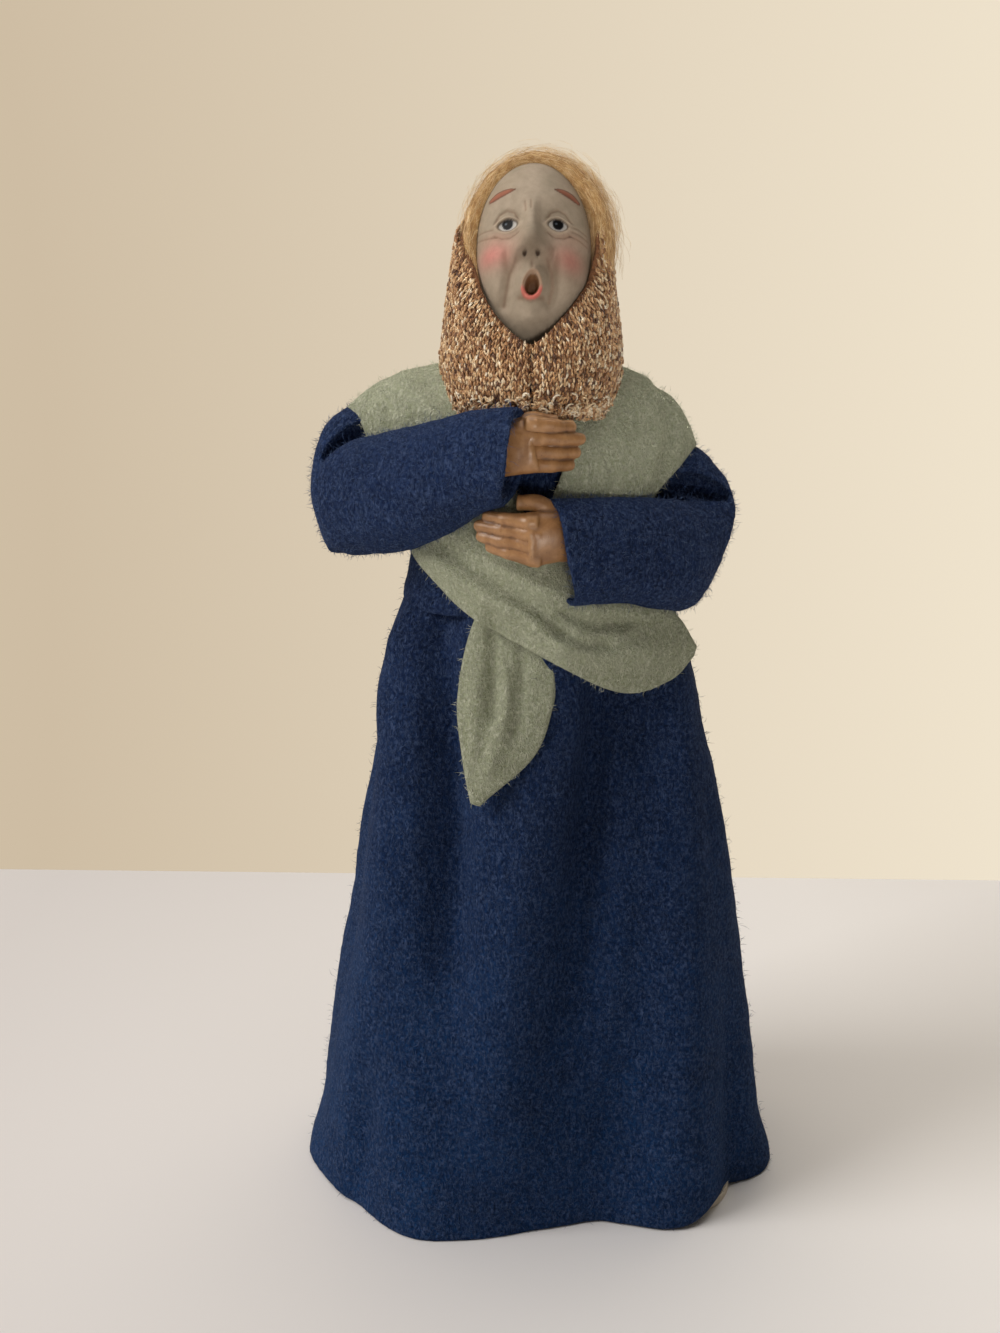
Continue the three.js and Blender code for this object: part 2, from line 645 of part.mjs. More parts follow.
function hand(shape, grow = 0) {
  const { wrist, palm, knuckles, fan, lean, tips, bend, thumb } = shape;
  let whole = ovalTube([[...wrist, 5, 3.8], [...palm, 6.8, 3.6], [...knuckles, 7.4, 3]], grow, 2, 10);
  tips.forEach((tip, i) => {
    const across = 1.5 - i;
    const root = [knuckles[0] + lean * (i - 1.5), knuckles[1], knuckles[2] + across * fan];
    const joint = root.map((value, axis) => mix(value, tip[axis], 0.5));
    joint[1] += bend;
    whole = whole.add(limb([root, joint, tip], FINGER_RADIUS, grow));
  });
  return whole.add(limb(thumb, [3, 2.4, 2], grow));
}

// The whole figure. The shawl, head and hands keep their shape, and what lies under or
// round them is cut back to a small gap.
const shawlGrown = shawl(2 * GAP);
const handsGrown = [hand(RIGHT_HAND, GAP), hand(LEFT_HAND, GAP)];
const scarf = cut(knitScarf(), shawlGrown, headRoom());
const hairCap = cut(hair(), headRoom(), knitScarf(GAP), shawlGrown);
const neighbours = [shawlGrown, knitScarf(GAP), ...handsGrown];
const rightArm = sleeve(RIGHT_UPPER, RIGHT_FOREARM, RIGHT_CUFF, RIGHT_CREASE);
const leftArm = sleeve(LEFT_UPPER, LEFT_FOREARM, LEFT_CUFF, LEFT_CREASE);
const rightSleeve = cut(rightArm, bodice(GAP), ...neighbours);
const leftSleeve = cut(leftArm, bodice(GAP), ...neighbours);
const body = cut(bodice(), shawlGrown, neck(GAP), knitScarf(GAP));
const restingArm = ovalTube(LEFT_FOREARM, GAP, 1, 14, LEFT_CUFF);
const skirtBody = cut(skirt(), shawlGrown, baseBoard(GAP), restingArm);

const caroler = new THREE.Group();
caroler.add(
  meshOf('base_board', baseBoard(), 0xb9b4a8, 0.85),
  meshOf('skirt', skirtBody, 0x1e3a66, 0.95),
  meshOf('bodice', body, 0x1b335c, 0.95),
  meshOf('right_sleeve', rightSleeve, 0x203c6a, 0.95),
  meshOf('left_sleeve', leftSleeve, 0x203c6a, 0.95),
  meshOf('shawl', shawl(), 0x96a084, 0.95),
  meshOf('knit_scarf', scarf, 0x9a7350, 0.9),
  meshOf('head', head(), 0xa59c8c, 0.75),
  meshOf('hair', hairCap, 0xc9ab70, 0.6),
  meshOf('right_hand', hand(RIGHT_HAND), 0xb08250, 0.5),
  meshOf('left_hand', hand(LEFT_HAND), 0xb08250, 0.5),
);

export default caroler;
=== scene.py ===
# The caroler figurine, dressed: felt skirt, bodice, sleeves and shawl, a knit head
# scarf, wool hair and painted clay head and hands. Shapes are worked out in
# millimetres in the model's own frame and turned into metres when a mesh is made.
import contextlib
import math

import bmesh
import bpy
import numpy as np
from mathutils import Euler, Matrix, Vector


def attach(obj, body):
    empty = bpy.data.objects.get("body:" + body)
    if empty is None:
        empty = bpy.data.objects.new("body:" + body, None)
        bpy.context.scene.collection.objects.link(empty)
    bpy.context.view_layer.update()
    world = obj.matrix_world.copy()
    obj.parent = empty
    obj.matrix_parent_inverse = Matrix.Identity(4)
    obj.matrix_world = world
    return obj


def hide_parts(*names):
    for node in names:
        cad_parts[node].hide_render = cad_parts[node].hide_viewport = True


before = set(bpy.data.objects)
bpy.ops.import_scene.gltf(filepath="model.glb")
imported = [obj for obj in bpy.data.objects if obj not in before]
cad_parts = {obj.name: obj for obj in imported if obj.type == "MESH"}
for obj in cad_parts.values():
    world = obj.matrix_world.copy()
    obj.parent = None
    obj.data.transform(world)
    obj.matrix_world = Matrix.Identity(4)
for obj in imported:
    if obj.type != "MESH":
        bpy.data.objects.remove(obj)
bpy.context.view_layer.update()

MM = 0.001

# Thickness of the cloths and radii of the threads, in millimetres
FELT, KNIT = 2.2, 3.2
STITCH, CURL, FIBRE = 0.34, 0.3, 0.065
ROLL_HAIR, CROWN_HAIR, LOOSE_HAIR = 0.07, 0.075, 0.03
# Voxel size, in millimetres, of the pieces that are joined from several tubes
SLEEVE_VOXEL, HAIR_VOXEL, HAND_VOXEL = 0.76, 0.85, 0.39
# Seeds of the random values
CLOTH_SEED, FACE_SEED, KNIT_SEED, HAIR_SEED, FIBRE_SEED = 11, 31, 5, 8, 40


# Curves, random values and meshes

def profile(keys):
    """A smooth curve through (position, value) pairs."""
    x, y = np.array(keys, float).T
    index = np.arange(len(x))
    before = np.maximum(index - 1, 0)
    after = np.minimum(index + 1, len(x) - 1)
    slope = (y[after] - y[before]) / (x[after] - x[before])

    def value(at):
        at = np.clip(np.asarray(at, float), x[0], x[-1])
        i = np.clip(np.searchsorted(x, at, side="right") - 1, 0, len(x) - 2)
        length = x[i + 1] - x[i]
        t = (at - x[i]) / length
        rise = t * t * (3 - 2 * t)
        bend = t * (1 - t) ** 2 * slope[i] * length + t * t * (t - 1) * slope[i + 1] * length
        return y[i] * (1 - rise) + y[i + 1] * rise + bend

    return value


def through_rows(rows, at):
    """Smooth curves through rows of numbers, at = 0 on the first row and 1 on the last."""
    rows = np.array(rows, float)
    place = np.asarray(at, float) * (len(rows) - 1)
    keys = np.arange(len(rows))
    columns = [profile(list(zip(keys, column)))(place) for column in rows.T]
    return np.stack(columns, axis=-1)


def mix(a, b, t):
    return a + (b - a) * t


def hump(distance, width):
    return np.exp(-((distance / width) ** 2))


def turn_from(turn, where):
    """How far a turn in degrees lies from another, -180 to 180."""
    return (turn - where + 540) % 360 - 180


def ramp(at, start, end):
    t = np.clip((at - start) / (end - start), 0, 1)
    return t * t * (3 - 2 * t)


def squarish(angle, power):
    """Sine and cosine of an angle, bent so that they draw a slightly square circle."""
    return [np.sign(s) * np.abs(s) ** power for s in (np.sin(angle), np.cos(angle))]


def unit(v):
    return v / np.maximum(np.linalg.norm(v, axis=-1, keepdims=True), 1e-12)


class Cloud:
    """Smooth random values in space, about -1 to 1, the same on every run."""

    CELLS = 32

    def __init__(self, seed):
        self.table = np.random.default_rng(seed).random((self.CELLS,) * 3) * 2 - 1

    def __call__(self, points, size):
        place = np.asarray(points, float) / size
        cell = np.floor(place).astype(int)
        f = place - cell
        f = f * f * (3 - 2 * f)
        total = 0
        for i in (0, 1):
            for j in (0, 1):
                for k in (0, 1):
                    a, b, c = ((cell[..., n] + o) % self.CELLS for n, o in enumerate((i, j, k)))
                    weight = 1
                    for n, o in enumerate((i, j, k)):
                        weight = weight * (f[..., n] if o else 1 - f[..., n])
                    total = total + weight * self.table[a, b, c]
        return total


felt_cloud = Cloud(CLOTH_SEED)


def uneven(points, *layers):
    """Small random rises of hand-made cloth. A layer is height, size of its lumps and shift."""
    return sum(height * felt_cloud(points + shift, size) for height, size, shift in layers)


def to_paths(points, path):
    """Distance from each point to a broken line, and how far along the line it is."""
    path = np.array(path, float)
    best = np.full(len(points), 1e9)
    along = np.zeros(len(points))
    for i, (a, b) in enumerate(zip(path, path[1:])):
        t = np.clip(((points - a) @ (b - a)) / ((b - a) @ (b - a)), 0, 1)
        distance = np.linalg.norm(points - (a + t[:, None] * (b - a)), axis=1)
        near = distance < best
        best[near] = distance[near]
        along[near] = ((i + t) / (len(path) - 1))[near]
    return best, along


def grid_faces(rows, columns, close_rows, close_columns):
    """Quads of a grid of points, row by row, that may close on itself both ways."""
    r = np.arange(rows if close_rows else rows - 1)
    c = np.arange(columns if close_columns else columns - 1)
    r, c = np.meshgrid(r, c, indexing="ij")
    up = (r + 1) % rows
    on = (c + 1) % columns
    quads = [r * columns + c, r * columns + on, up * columns + on, up * columns + c]
    return np.stack(quads, axis=-1).reshape(-1, 4)


def normals_of(points, faces):
    """Vertex normals of a mesh."""
    corners = points[faces]
    across = np.cross(corners[:, 2] - corners[:, 0], corners[:, -1] - corners[:, 1])
    total = np.zeros_like(points)
    for k in range(faces.shape[1]):
        np.add.at(total, faces[:, k], across)
    return unit(total)


def add_object(name, data):
    made = bpy.data.objects.new(name, data)
    bpy.context.scene.collection.objects.link(made)
    return made


def new_object(name, points, faces):
    """A mesh object from points in millimetres."""
    mesh = bpy.data.meshes.new(name)
    mesh.from_pydata((np.asarray(points) * MM).tolist(), [], [list(map(int, f)) for f in faces])
    return add_object(name, mesh)


@contextlib.contextmanager
def editing(piece):
    """The piece's mesh as a bmesh, written back at the end."""
    bm = bmesh.new()
    bm.from_mesh(piece.data)
    yield bm
    bm.to_mesh(piece.data)
    bm.free()


def make_piece(name, points, faces, material, slot, stands_for=(), smooth=True):
    """A closed mesh piece, with its faces turned outward."""
    piece = new_object(name, points, faces)
    piece.data.validate()
    finish_piece(piece, material, stands_for, smooth)
    return piece


def finish_piece(piece, material, stands_for=(), smooth=True):
    """Turn a piece's faces outward and say what it is made of and stands for."""
    with editing(piece) as bm:
        bmesh.ops.recalc_face_normals(bm, faces=bm.faces)
        if bm.calc_volume(signed=True) < 0:
            bmesh.ops.reverse_faces(bm, faces=bm.faces)
    mesh = piece.data
    mesh.polygons.foreach_set("use_smooth", [smooth] * len(mesh.polygons))
    mesh.materials.clear()
    mesh.materials.append(material)
    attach(piece, "root")
    if stands_for:
        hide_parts(*stands_for)


def read(items, name, width, kind=float):
    """Rows of numbers read from all items of a mesh."""
    values = np.empty(len(items) * width, kind)
    items.foreach_get(name, values)
    return values.reshape(-1, width)


def mesh_arrays(piece):
    """Points in millimetres, normals and triangles of a piece."""
    mesh = piece.data
    mesh.calc_loop_triangles()
    return (read(mesh.vertices, "co", 3) / MM, read(mesh.vertices, "normal", 3),
            read(mesh.loop_triangles, "vertices", 3, int))


def set_points(piece, points):
    piece.data.vertices.foreach_set("co", (points * MM).ravel())
    piece.data.update()


def set_value(piece, name, values):
    """Give each point of a piece a number that its material reads by name."""
    piece.data.attributes.new(name, "FLOAT", "POINT")
    piece.data.attributes[name].data.foreach_set("value", np.asarray(values, float))


def neighbour_means(piece):
    """A call that gives the mean of each point's neighbours along the mesh's edges."""
    a, b = read(piece.data.edges, "vertices", 2, int).T
    count = np.bincount(np.concatenate([a, b]), minlength=len(piece.data.vertices))[:, None]

    def means(points):
        total = np.zeros_like(points)
        np.add.at(total, a, points[b])
        np.add.at(total, b, points[a])
        return total / np.maximum(count, 1)

    return means


def scatter(piece, count, rng):
    """Random places on a piece, evenly by area, and its normals there."""
    points, normals, triangles = mesh_arrays(piece)
    a, b, c = (points[triangles[:, k]] for k in range(3))
    weight = np.linalg.norm(np.cross(b - a, c - a), axis=1)
    pick = rng.choice(len(triangles), count, p=weight / weight.sum())
    u = rng.random((count, 1))
    v = rng.random((count, 1))
    over = u + v > 1
    u = np.where(over, 1 - u, u)
    v = np.where(over, 1 - v, v)
    place = a[pick] + u * (b[pick] - a[pick]) + v * (c[pick] - a[pick])
    normal = unit(sum(normals[triangles[pick, k]] for k in range(3)))
    return place, normal


def sideways(direction):
    """Two directions at right angles to each given one."""
    helper = np.where(np.abs(direction[:, 2:]) < 0.8, [[0, 0, 1.0]], [[1.0, 0, 0]])
    one = unit(np.cross(direction, helper))
    return one, np.cross(direction, one)


def thread_mesh(lines, radius, sides, pointed):
    """Closed threads along lines of points, shaped (thread, point, 3). Each ends in a
    point, and starts in one too if pointed, or else in a flat end."""
    count, steps, _ = lines.shape
    first = int(pointed)
    way = unit(np.gradient(lines, axis=1))
    one, two = sideways(unit(lines[:, -1] - lines[:, 0]))
    points = [lines[:, 0]] * first
    for i in range(first, steps - 1):
        for k in range(sides):
            angle = 2 * math.pi * k / sides
            spoke = math.cos(angle) * one + math.sin(angle) * two
            spoke = unit(spoke - np.sum(spoke * way[:, i], axis=1, keepdims=True) * way[:, i])
            points.append(lines[:, i] + radius * spoke)
    points.append(lines[:, -1])
    per = len(points)
    faces = [[0, k + 1, k] for k in range(1, sides - 1) if not pointed]
    for k in range(sides):
        n = (k + 1) % sides
        if pointed:
            faces.append([0, 1 + n, 1 + k])
        for a in range(first + k, per - 1 - sides, sides):
            b = a - k + n
            faces += [[a, b, b + sides], [a, b + sides, a + sides]]
        faces.append([per - 1 - sides + k, per - 1 - sides + n, per - 1])
    starts = per * np.arange(count)[:, None, None]
    points = np.stack(points, axis=1).reshape(-1, 3)
    return points, (np.array(faces)[None] + starts).reshape(-1, 3)


def make_threads(name, lines, radius, sides, material, slot, tones=None, pointed=False,
                 smooth=False):
    """A piece of loose threads, each with its own tone from 0 to 1 where tones are given."""
    points, faces = thread_mesh(lines, radius, sides, pointed)
    piece = make_piece(name, points, faces, material, slot, smooth=smooth)
    if tones is not None:
        set_value(piece, "tone", np.repeat(np.clip(tones, 0, 1), len(points) // len(lines)))
    return piece


def trace(steps, place):
    """Lines of points, where place gives one point of every line at a share of the way."""
    return np.stack([place(k / (steps - 1)) for k in range(steps)], axis=1)


def make_fibres(name, piece, count, length, material, slot, seed):
    """Stray fibres that stand off a felt piece, each a thin bent needle."""
    rooted, off_floor = 0.25, 0.2
    rng = np.random.default_rng(seed)
    place, normal = scatter(piece, count, rng)
    drift = unit(rng.normal(size=(count, 3)))
    curl = unit(rng.normal(size=(count, 3)))
    size = length * rng.uniform(0.4, 1.3, (count, 1)) * (1 + (rng.random((count, 1)) < 0.05) * 0.8)
    way = unit(0.7 * rng.random((count, 1)) * normal + drift)
    way = unit(way + np.maximum(0, 0.12 - np.sum(way * normal, axis=1, keepdims=True)) * normal)
    start = place - rooted * normal
    middle = start + 0.5 * size * way
    end = middle + 0.5 * size * unit(way + 0.8 * curl + 0.15 * normal)
    lines = np.stack([start, middle, end], axis=1)
    lines[..., 2] = np.maximum(lines[..., 2], off_floor)
    return make_threads(name, lines, FIBRE, 3, material, slot, pointed=True)


# Felt and card

def linear(r, g, b):
    """A colour given as 0 to 255 screen values."""
    c = np.array([r, g, b]) / 255
    c = np.where(c <= 0.04045, c / 12.92, ((c + 0.055) / 1.055) ** 2.4)
    return (float(c[0]), float(c[1]), float(c[2]), 1.0)


class Nodes:
    """The node tree of a material or world, with short calls to add and link nodes."""

    def __init__(self, owner, coordinates="Object"):
        owner.use_nodes = True
        self.owner = owner
        self.tree = owner.node_tree
        self.place = self.add("ShaderNodeTexCoord").outputs[coordinates]

    def add(self, kind, links=None, **settings):
        node = self.tree.nodes.new(kind)
        for key, value in settings.items():
            setattr(node, key, value)
        for key, value in (links or {}).items():
            self.set(node, key, value)
        return node

    def set(self, node, key, value):
        socket = node.inputs[key]
        if isinstance(value, bpy.types.NodeSocket):
            self.tree.links.new(value, socket)
        else:
            socket.default_value = value

    def attribute(self, name, output="Fac"):
        """What set_value, or the painted face, left on each point under this name."""
        return self.add("ShaderNodeAttribute", attribute_name=name).outputs[output]

    def noise(self, scale, detail=2.0, rough=0.5, warp=0.0, at=None):
        """Cloudy values from 0 to 1, with about as many lumps per metre as scale says."""
        links = {"Vector": at or self.place, "Scale": scale, "Detail": detail,
                 "Roughness": rough, "Distortion": warp}
        return self.add("ShaderNodeTexNoise", links).outputs["Fac"]

    def stretched(self, turn, scale, at=None):
        """Coordinates turned and scaled, so that a noise of scale 1 is drawn out in them."""
        links = {"Vector": at or self.place, "Rotation": turn, "Scale": scale}
        return self.add("ShaderNodeMapping", links).outputs["Vector"]

    def math(self, operation, *values):
        node = self.add("ShaderNodeMath", dict(enumerate(values)), operation=operation)
        return node.outputs[0]

    def vector(self, operation, links):
        return self.add("ShaderNodeVectorMath", links, operation=operation).outputs[0]

    def weigh(self, a, share_a, b, share_b):
        """Two values added up, each times its share."""
        return self.math("ADD", self.math("MULTIPLY", a, share_a),
                         self.math("MULTIPLY", b, share_b))

    def range(self, value, low, high, to_low=0.0, to_high=1.0):
        """Low to high mapped onto another range, and held at its ends beyond them."""
        links = {"Value": value, "From Min": low, "From Max": high,
                 "To Min": to_low, "To Max": to_high}
        return self.add("ShaderNodeMapRange", links).outputs["Result"]

    def blend(self, factor, a, b, kind="MIX"):
        links = {0: factor, 6: a, 7: b}
        return self.add("ShaderNodeMix", links, data_type="RGBA", blend_type=kind).outputs[2]

    def ramp(self, value, stops):
        node = self.add("ShaderNodeValToRGB", {"Fac": value})
        elements = node.color_ramp.elements
        while len(elements) < len(stops):
            elements.new(0.5)
        for element, (place, color) in zip(elements, stops):
            element.position = place
            element.color = color
        return node.outputs["Color"]

    def bump(self, height, distance, strength=1.0):
        links = {"Height": height, "Distance": distance, "Strength": strength}
        return self.add("ShaderNodeBump", links).outputs["Normal"]

    def finish(self, **values):
        """Set the shader's sockets and give back the material."""
        for key, value in values.items():
            self.set(self.tree.nodes["Principled BSDF"], key.replace("_", " "), value)
        return self.owner


def new_material(name):
    return Nodes(bpy.data.materials.new(name))


def felt_material(name, dark, base, light, fibre, seed, low=None):
    """Pressed wool: a mottled ground with short fibres that lie every way. The tint low,
    if given, takes over towards the floor."""
    n = new_material(name)
    shift = n.vector("ADD", {0: n.place, 1: (seed * 0.1, seed * 0.07, 0)})
    cloud = n.noise(55, 3, 0.6, 0.3, shift)
    mottle = n.noise(1050, 4, 0.75, 0.6, shift)
    color = n.ramp(n.weigh(cloud, 0.22, mottle, 0.78), [(0.3, dark), (0.5, base), (0.68, light)])
    if low is not None:
        height = n.add("ShaderNodeSeparateXYZ", {0: n.place}).outputs["Z"]
        color = n.blend(n.range(height, 0.19, 0.04), color, low, "MULTIPLY")
    wander = n.add("ShaderNodeTexNoise", {"Vector": shift, "Scale": 240, "Detail": 1.0})
    warp = n.vector("SCALE", {0: wander.outputs["Color"], "Scale": 0.0035})
    bent = n.vector("ADD", {0: shift, 1: warp})
    fibres = None
    for turn in ((0.3, 0.9, 0.2), (1.4, 0.3, 1.1), (2.3, 1.8, 0.4), (0.9, 2.4, 2.0)):
        along = n.stretched(turn, (1300, 1300, 150), bent)
        ridge = n.math("ABSOLUTE", n.math("SUBTRACT", n.noise(1.0, 0.0, 0.5, 0.0, along), 0.5))
        line = n.range(ridge, 0.0, 0.07, 1.0, 0.0)
        fibres = line if fibres is None else n.math("MAXIMUM", fibres, line)
    patch = n.range(n.noise(900, 2, 0.5, 0.0, shift), 0.35, 0.65)
    strength = n.math("MULTIPLY", fibres, patch)
    color = n.blend(n.math("MULTIPLY", strength, 0.8), color, fibre)
    relief = n.bump(n.weigh(mottle, 0.9, strength, 0.6), 0.0011, 0.8)
    return n.finish(Base_Color=color, Roughness=0.95, Normal=relief, Specular_IOR_Level=0.1,
                    Sheen_Weight=0.1, Sheen_Roughness=0.5, Sheen_Tint=fibre)


def fibre_material(name, base, light):
    n = new_material(name)
    color = n.ramp(n.noise(700, 2, 0.6), [(0.35, base), (0.65, light)])
    return n.finish(Base_Color=color, Roughness=0.85, Specular_IOR_Level=0.2, Sheen_Weight=0.2)


NAVY = felt_material("navy_felt", linear(4, 10, 28), linear(21, 37, 72), linear(40, 62, 106),
                     linear(82, 102, 144), 1, (0.45, 1.25, 1.34, 1))
SAGE = felt_material("sage_felt", linear(116, 122, 98), linear(163, 169, 142),
                     linear(190, 195, 172), linear(226, 229, 210), 2)
NAVY_FIBRE = fibre_material("navy_fibre", linear(26, 42, 80), linear(84, 108, 150))
SAGE_FIBRE = fibre_material("sage_fibre", linear(172, 178, 152), linear(232, 235, 216))


def card_material():
    """Pale pressed board, faintly fibrous."""
    n = new_material("pale_card")
    grain = n.noise(1.0, 3.0, 0.6, 0.2, n.stretched((0, 0, 0.1), (260, 900, 900)))
    color = n.ramp(grain, [(0.3, linear(196, 184, 164)), (0.7, linear(222, 212, 194))])
    return n.finish(Base_Color=color, Roughness=0.85, Normal=n.bump(grain, 0.0002, 0.4))


CARD = card_material()


# The skirt

WAIST, HEM = 200, 1.1
# Where the hem is lifted off the table, so that a corner of the card base shows
HEM_LIFT, LIFT_TURN = 3.8, 47
skirt_middle = profile([(0, 0), (55, 0.2), (128, 0.7), (170, -0.5), (200, -2)])
skirt_half_width = profile([
    (0, 77.8), (15, 76.2), (55, 70.6), (98, 63.6), (128, 58.4), (170, 50.6), (190, 44.5), (200, 40),
])
skirt_half_depth = profile([
    (0, 51.5), (55, 48), (98, 45), (128, 42.8), (170, 38.5), (190, 34.5), (200, 31),
])
# Folds: turn and depth at the waist, two fifths of the way down and at the hem, and width
SKIRT_FOLDS = [
    ((-70, -53, -50), (2.5, 4.2, 1.5), 13),
    ((-40, -28, -18), (-3.8, -5.6, 0.4), 9),
    ((6, -2, -6), (2.6, 4.4, 0.8), 10),
    ((-30, -30, -26), (0, 0.5, 8), 15),
    ((26, 9, 0), (-4.6, -6.2, -1.5), 9),
    ((38, 30, 12), (-4.4, -1.5, -5.5), 10),
    ((56, 46, 34), (2, 3, 4), 11),
    ((82, 68, 58), (0.5, 0.5, -5.5), 10),
    ((-88, -85, -80), (1, -3.2, 0), 8),
    ((-106, -102, -104), (0, 3.2, 2), 10),
    ((106, 108, 108), (-1, -2, -3), 10),
    ((130, 132, 134), (1.5, 2.5, 3.5), 12),
    ((156, 157, 158), (-1.5, -2.5, -3.5), 12),
    ((180, 181, 182), (1.5, 2, 3), 12),
    ((-157, -156, -156), (-1.5, -2.5, -3.5), 12),
    ((-130, -131, -132), (1.5, 2.5, 3.5), 12),
]
# Bulges and dents: turn, height, depth, width round the skirt, reach up and down
SKIRT_BULGES = [
    (-80, 167, 2.4, 18, 17), (-86, 150, -2, 24, 24), (-84, 90, -2.2, 22, 20), (-84, 2, 3, 14, 10),
    (82, 2, 3, 12, 10), (80, 160, -2.2, 14, 24), (-46, 26, -3.2, 6, 22), (36, 160, -3.6, 12, 22),
    (66, 120, 1.6, 9, 60), (-62, 188, 2, 12, 7), (-20, 176, -1.6, 8, 14), (-10, 60, 1.5, 22, 26),
]
# Small gathers where the waist pulls the felt in: turn, depth, width, height they fade over
WAIST_GATHERS = [
    (-74, -1.4, 4, 24), (-62, 1.0, 4, 22), (-44, -1.2, 4, 30), (-20, 0.8, 5, 26), (-8, -1.1, 4, 34),
    (24, 0.9, 4, 24), (44, -1.0, 5, 40), (64, 1.0, 5, 26), (92, -1.2, 5, 30), (118, 1.2, 5, 26),
    (143, -1.3, 5, 32), (168, 1.1, 5, 28), (-168, -1.2, 5, 30), (-143, 1.2, 5, 28),
    (-117, -1.3, 5, 34),
]
# Valleys in front are deepened by this share of their depth
VALLEY_DEPTH = 1.15


def skirt_fold(turn, z):
    """How far the folds stand out of the skirt's smooth shape, a dent below 0."""
    down = 1 - z / WAIST
    depth = 0
    for turns, depths, width in SKIRT_FOLDS:
        where, deep = (profile(list(zip((0, 0.4, 1), keys)))(down) for keys in (turns, depths))
        depth = depth + deep * hump(turn_from(turn, where), width)
    front = hump(turn, 50) * ramp(WAIST - z, 0, 30) * ramp(z, 0, 40)
    depth = depth + VALLEY_DEPTH * front * np.minimum(depth, 0)
    for where, deep, width, reach in WAIST_GATHERS:
        depth = depth + deep * hump(turn_from(turn, where), width) * hump(WAIST - z, reach)
    for where, at, deep, width, reach in SKIRT_BULGES:
        depth = depth + deep * hump(turn_from(turn, where), width) * hump(z - at, reach)
    return depth


def skirt_point(turn, z):
    """A point on the skirt's outer skin: turn in degrees from the front, and height."""
    a = skirt_half_width(z)
    b = skirt_half_depth(z)
    t = np.radians(turn)
    sine, cosine = squarish(t, 0.88)
    out = unit(np.stack([np.sin(t) / a, -np.cos(t) / b, 0 * t], axis=-1))
    point = np.stack([skirt_middle(z) + a * sine, -b * cosine, z], axis=-1)
    return point + out * skirt_fold(turn, z)[..., None]


def round_edge(middle, out, beyond, half, steps):
    """Points round a cloth's cut edge, from its outer skin to its inner one."""
    angles = [math.pi * k / steps for k in range(1, steps)]
    return [middle + half * (math.cos(a) * out + math.sin(a) * beyond) for a in angles]


def shell_from_skin(skin, thickness, rim=4, inner_every=2):
    """A closed felt wall from an open tube of skin points (level, around, 3)."""
    levels, around, _ = skin.shape
    normals = normals_of(skin.reshape(-1, 3), grid_faces(levels, around, False, True))
    normals = normals.reshape(skin.shape)
    outward = np.sum(normals * (skin - skin.mean(axis=1, keepdims=True)), axis=-1).mean()
    normals = normals * np.sign(outward)
    rows = [skin[i] for i in range(levels)]
    down = unit(skin[0] - skin[1])
    up = unit(skin[-1] - skin[-2])
    half = thickness / 2
    rows += round_edge(skin[-1] - half * normals[-1], normals[-1], up, half, rim)
    for i in range(levels - 1, -1, -inner_every):
        rows.append(skin[i] - thickness * normals[i])
    if (levels - 1) % inner_every:
        rows.append(skin[0] - thickness * normals[0])
    rows += round_edge(skin[0] - half * normals[0], -normals[0], down, half, rim)
    points = np.stack(rows)
    return points.reshape(-1, 3), grid_faces(len(rows), around, True, True)


def make_skirt():
    """A felt wall, open at the waist and below, with deep folds and an uneven hem."""
    around, levels = 240, 92
    turn = -180 + 360 * np.arange(around) / around
    rise = np.linspace(0, 1, levels) ** 0.95
    turn, z = np.meshgrid(turn, HEM + (WAIST - HEM) * rise)
    skin = skirt_point(turn, z)
    lift = HEM_LIFT * hump(turn_from(turn, LIFT_TURN), 12) + 0.35 * np.sin(np.radians(turn * 5))
    skin[..., 2] += np.maximum(lift, 0) * hump(z, 14)
    flat = skin.reshape(-1, 3)
    push = uneven(flat, (0.35, 14, 0), (0.22, 5, 50), (0.1, 1.8, 0))
    normals = normals_of(flat, grid_faces(levels, around, False, True))
    centre = np.stack([0 * push, 0 * push, flat[:, 2]], axis=-1)
    normals *= np.sign(np.sum(normals * (flat - centre), axis=1, keepdims=True))
    skin = (flat + normals * push[:, None]).reshape(skin.shape)
    points, faces = shell_from_skin(skin, FELT)
    just_clear = 0.02
    points[:, 2] = np.maximum(points[:, 2], just_clear)
    return make_piece("skirt_felt", points, faces, NAVY, "navy_felt", ["skirt"])


# The bodice

BODICE_BOTTOM, BODICE_TOP = 197.5, 270.6
bodice_middle = profile([(200, -2), (230, -3.5), (272, -4)])
bodice_half_width = profile([
    (200, 40.6), (206, 40.2), (215, 38.5), (230, 39), (245, 40), (255, 37), (261, 30), (266, 21),
    (271, 12),
])
bodice_half_depth = profile([
    (200, 30.8), (206, 30.2), (215, 29.2), (230, 29), (240, 28), (250, 24.5), (258, 19.5),
    (264, 15.5), (271, 11),
])


def make_bodice():
    """A felt tube that flares a little over the waist."""
    around, levels = 168, 64
    turn, z = np.meshgrid(2 * np.pi * np.arange(around) / around,
                          np.linspace(BODICE_BOTTOM, BODICE_TOP, levels))
    sine, cosine = squarish(turn, 0.86)
    flare = 1.6 * hump(z - 199, 5)
    x = bodice_middle(z) + (bodice_half_width(z) + flare) * sine
    y = -(bodice_half_depth(z) + flare) * cosine
    skin = np.stack([x, y, z + 0.5 * np.sin(turn * 3 + 1)], axis=-1)
    flat = skin.reshape(-1, 3)
    push = uneven(flat, (0.4, 13, 9), (0.2, 5, 50), (0.08, 1.8, 0))
    middle = np.stack([bodice_middle(flat[:, 2]), 0 * push, flat[:, 2]], axis=-1)
    flat = flat + unit(flat - middle) * push[:, None]
    points, faces = shell_from_skin(flat.reshape(skin.shape), FELT)
    return make_piece("bodice_felt", points, faces, NAVY, "navy_felt", ["bodice"])


# Tubes, and the sleeves made of them

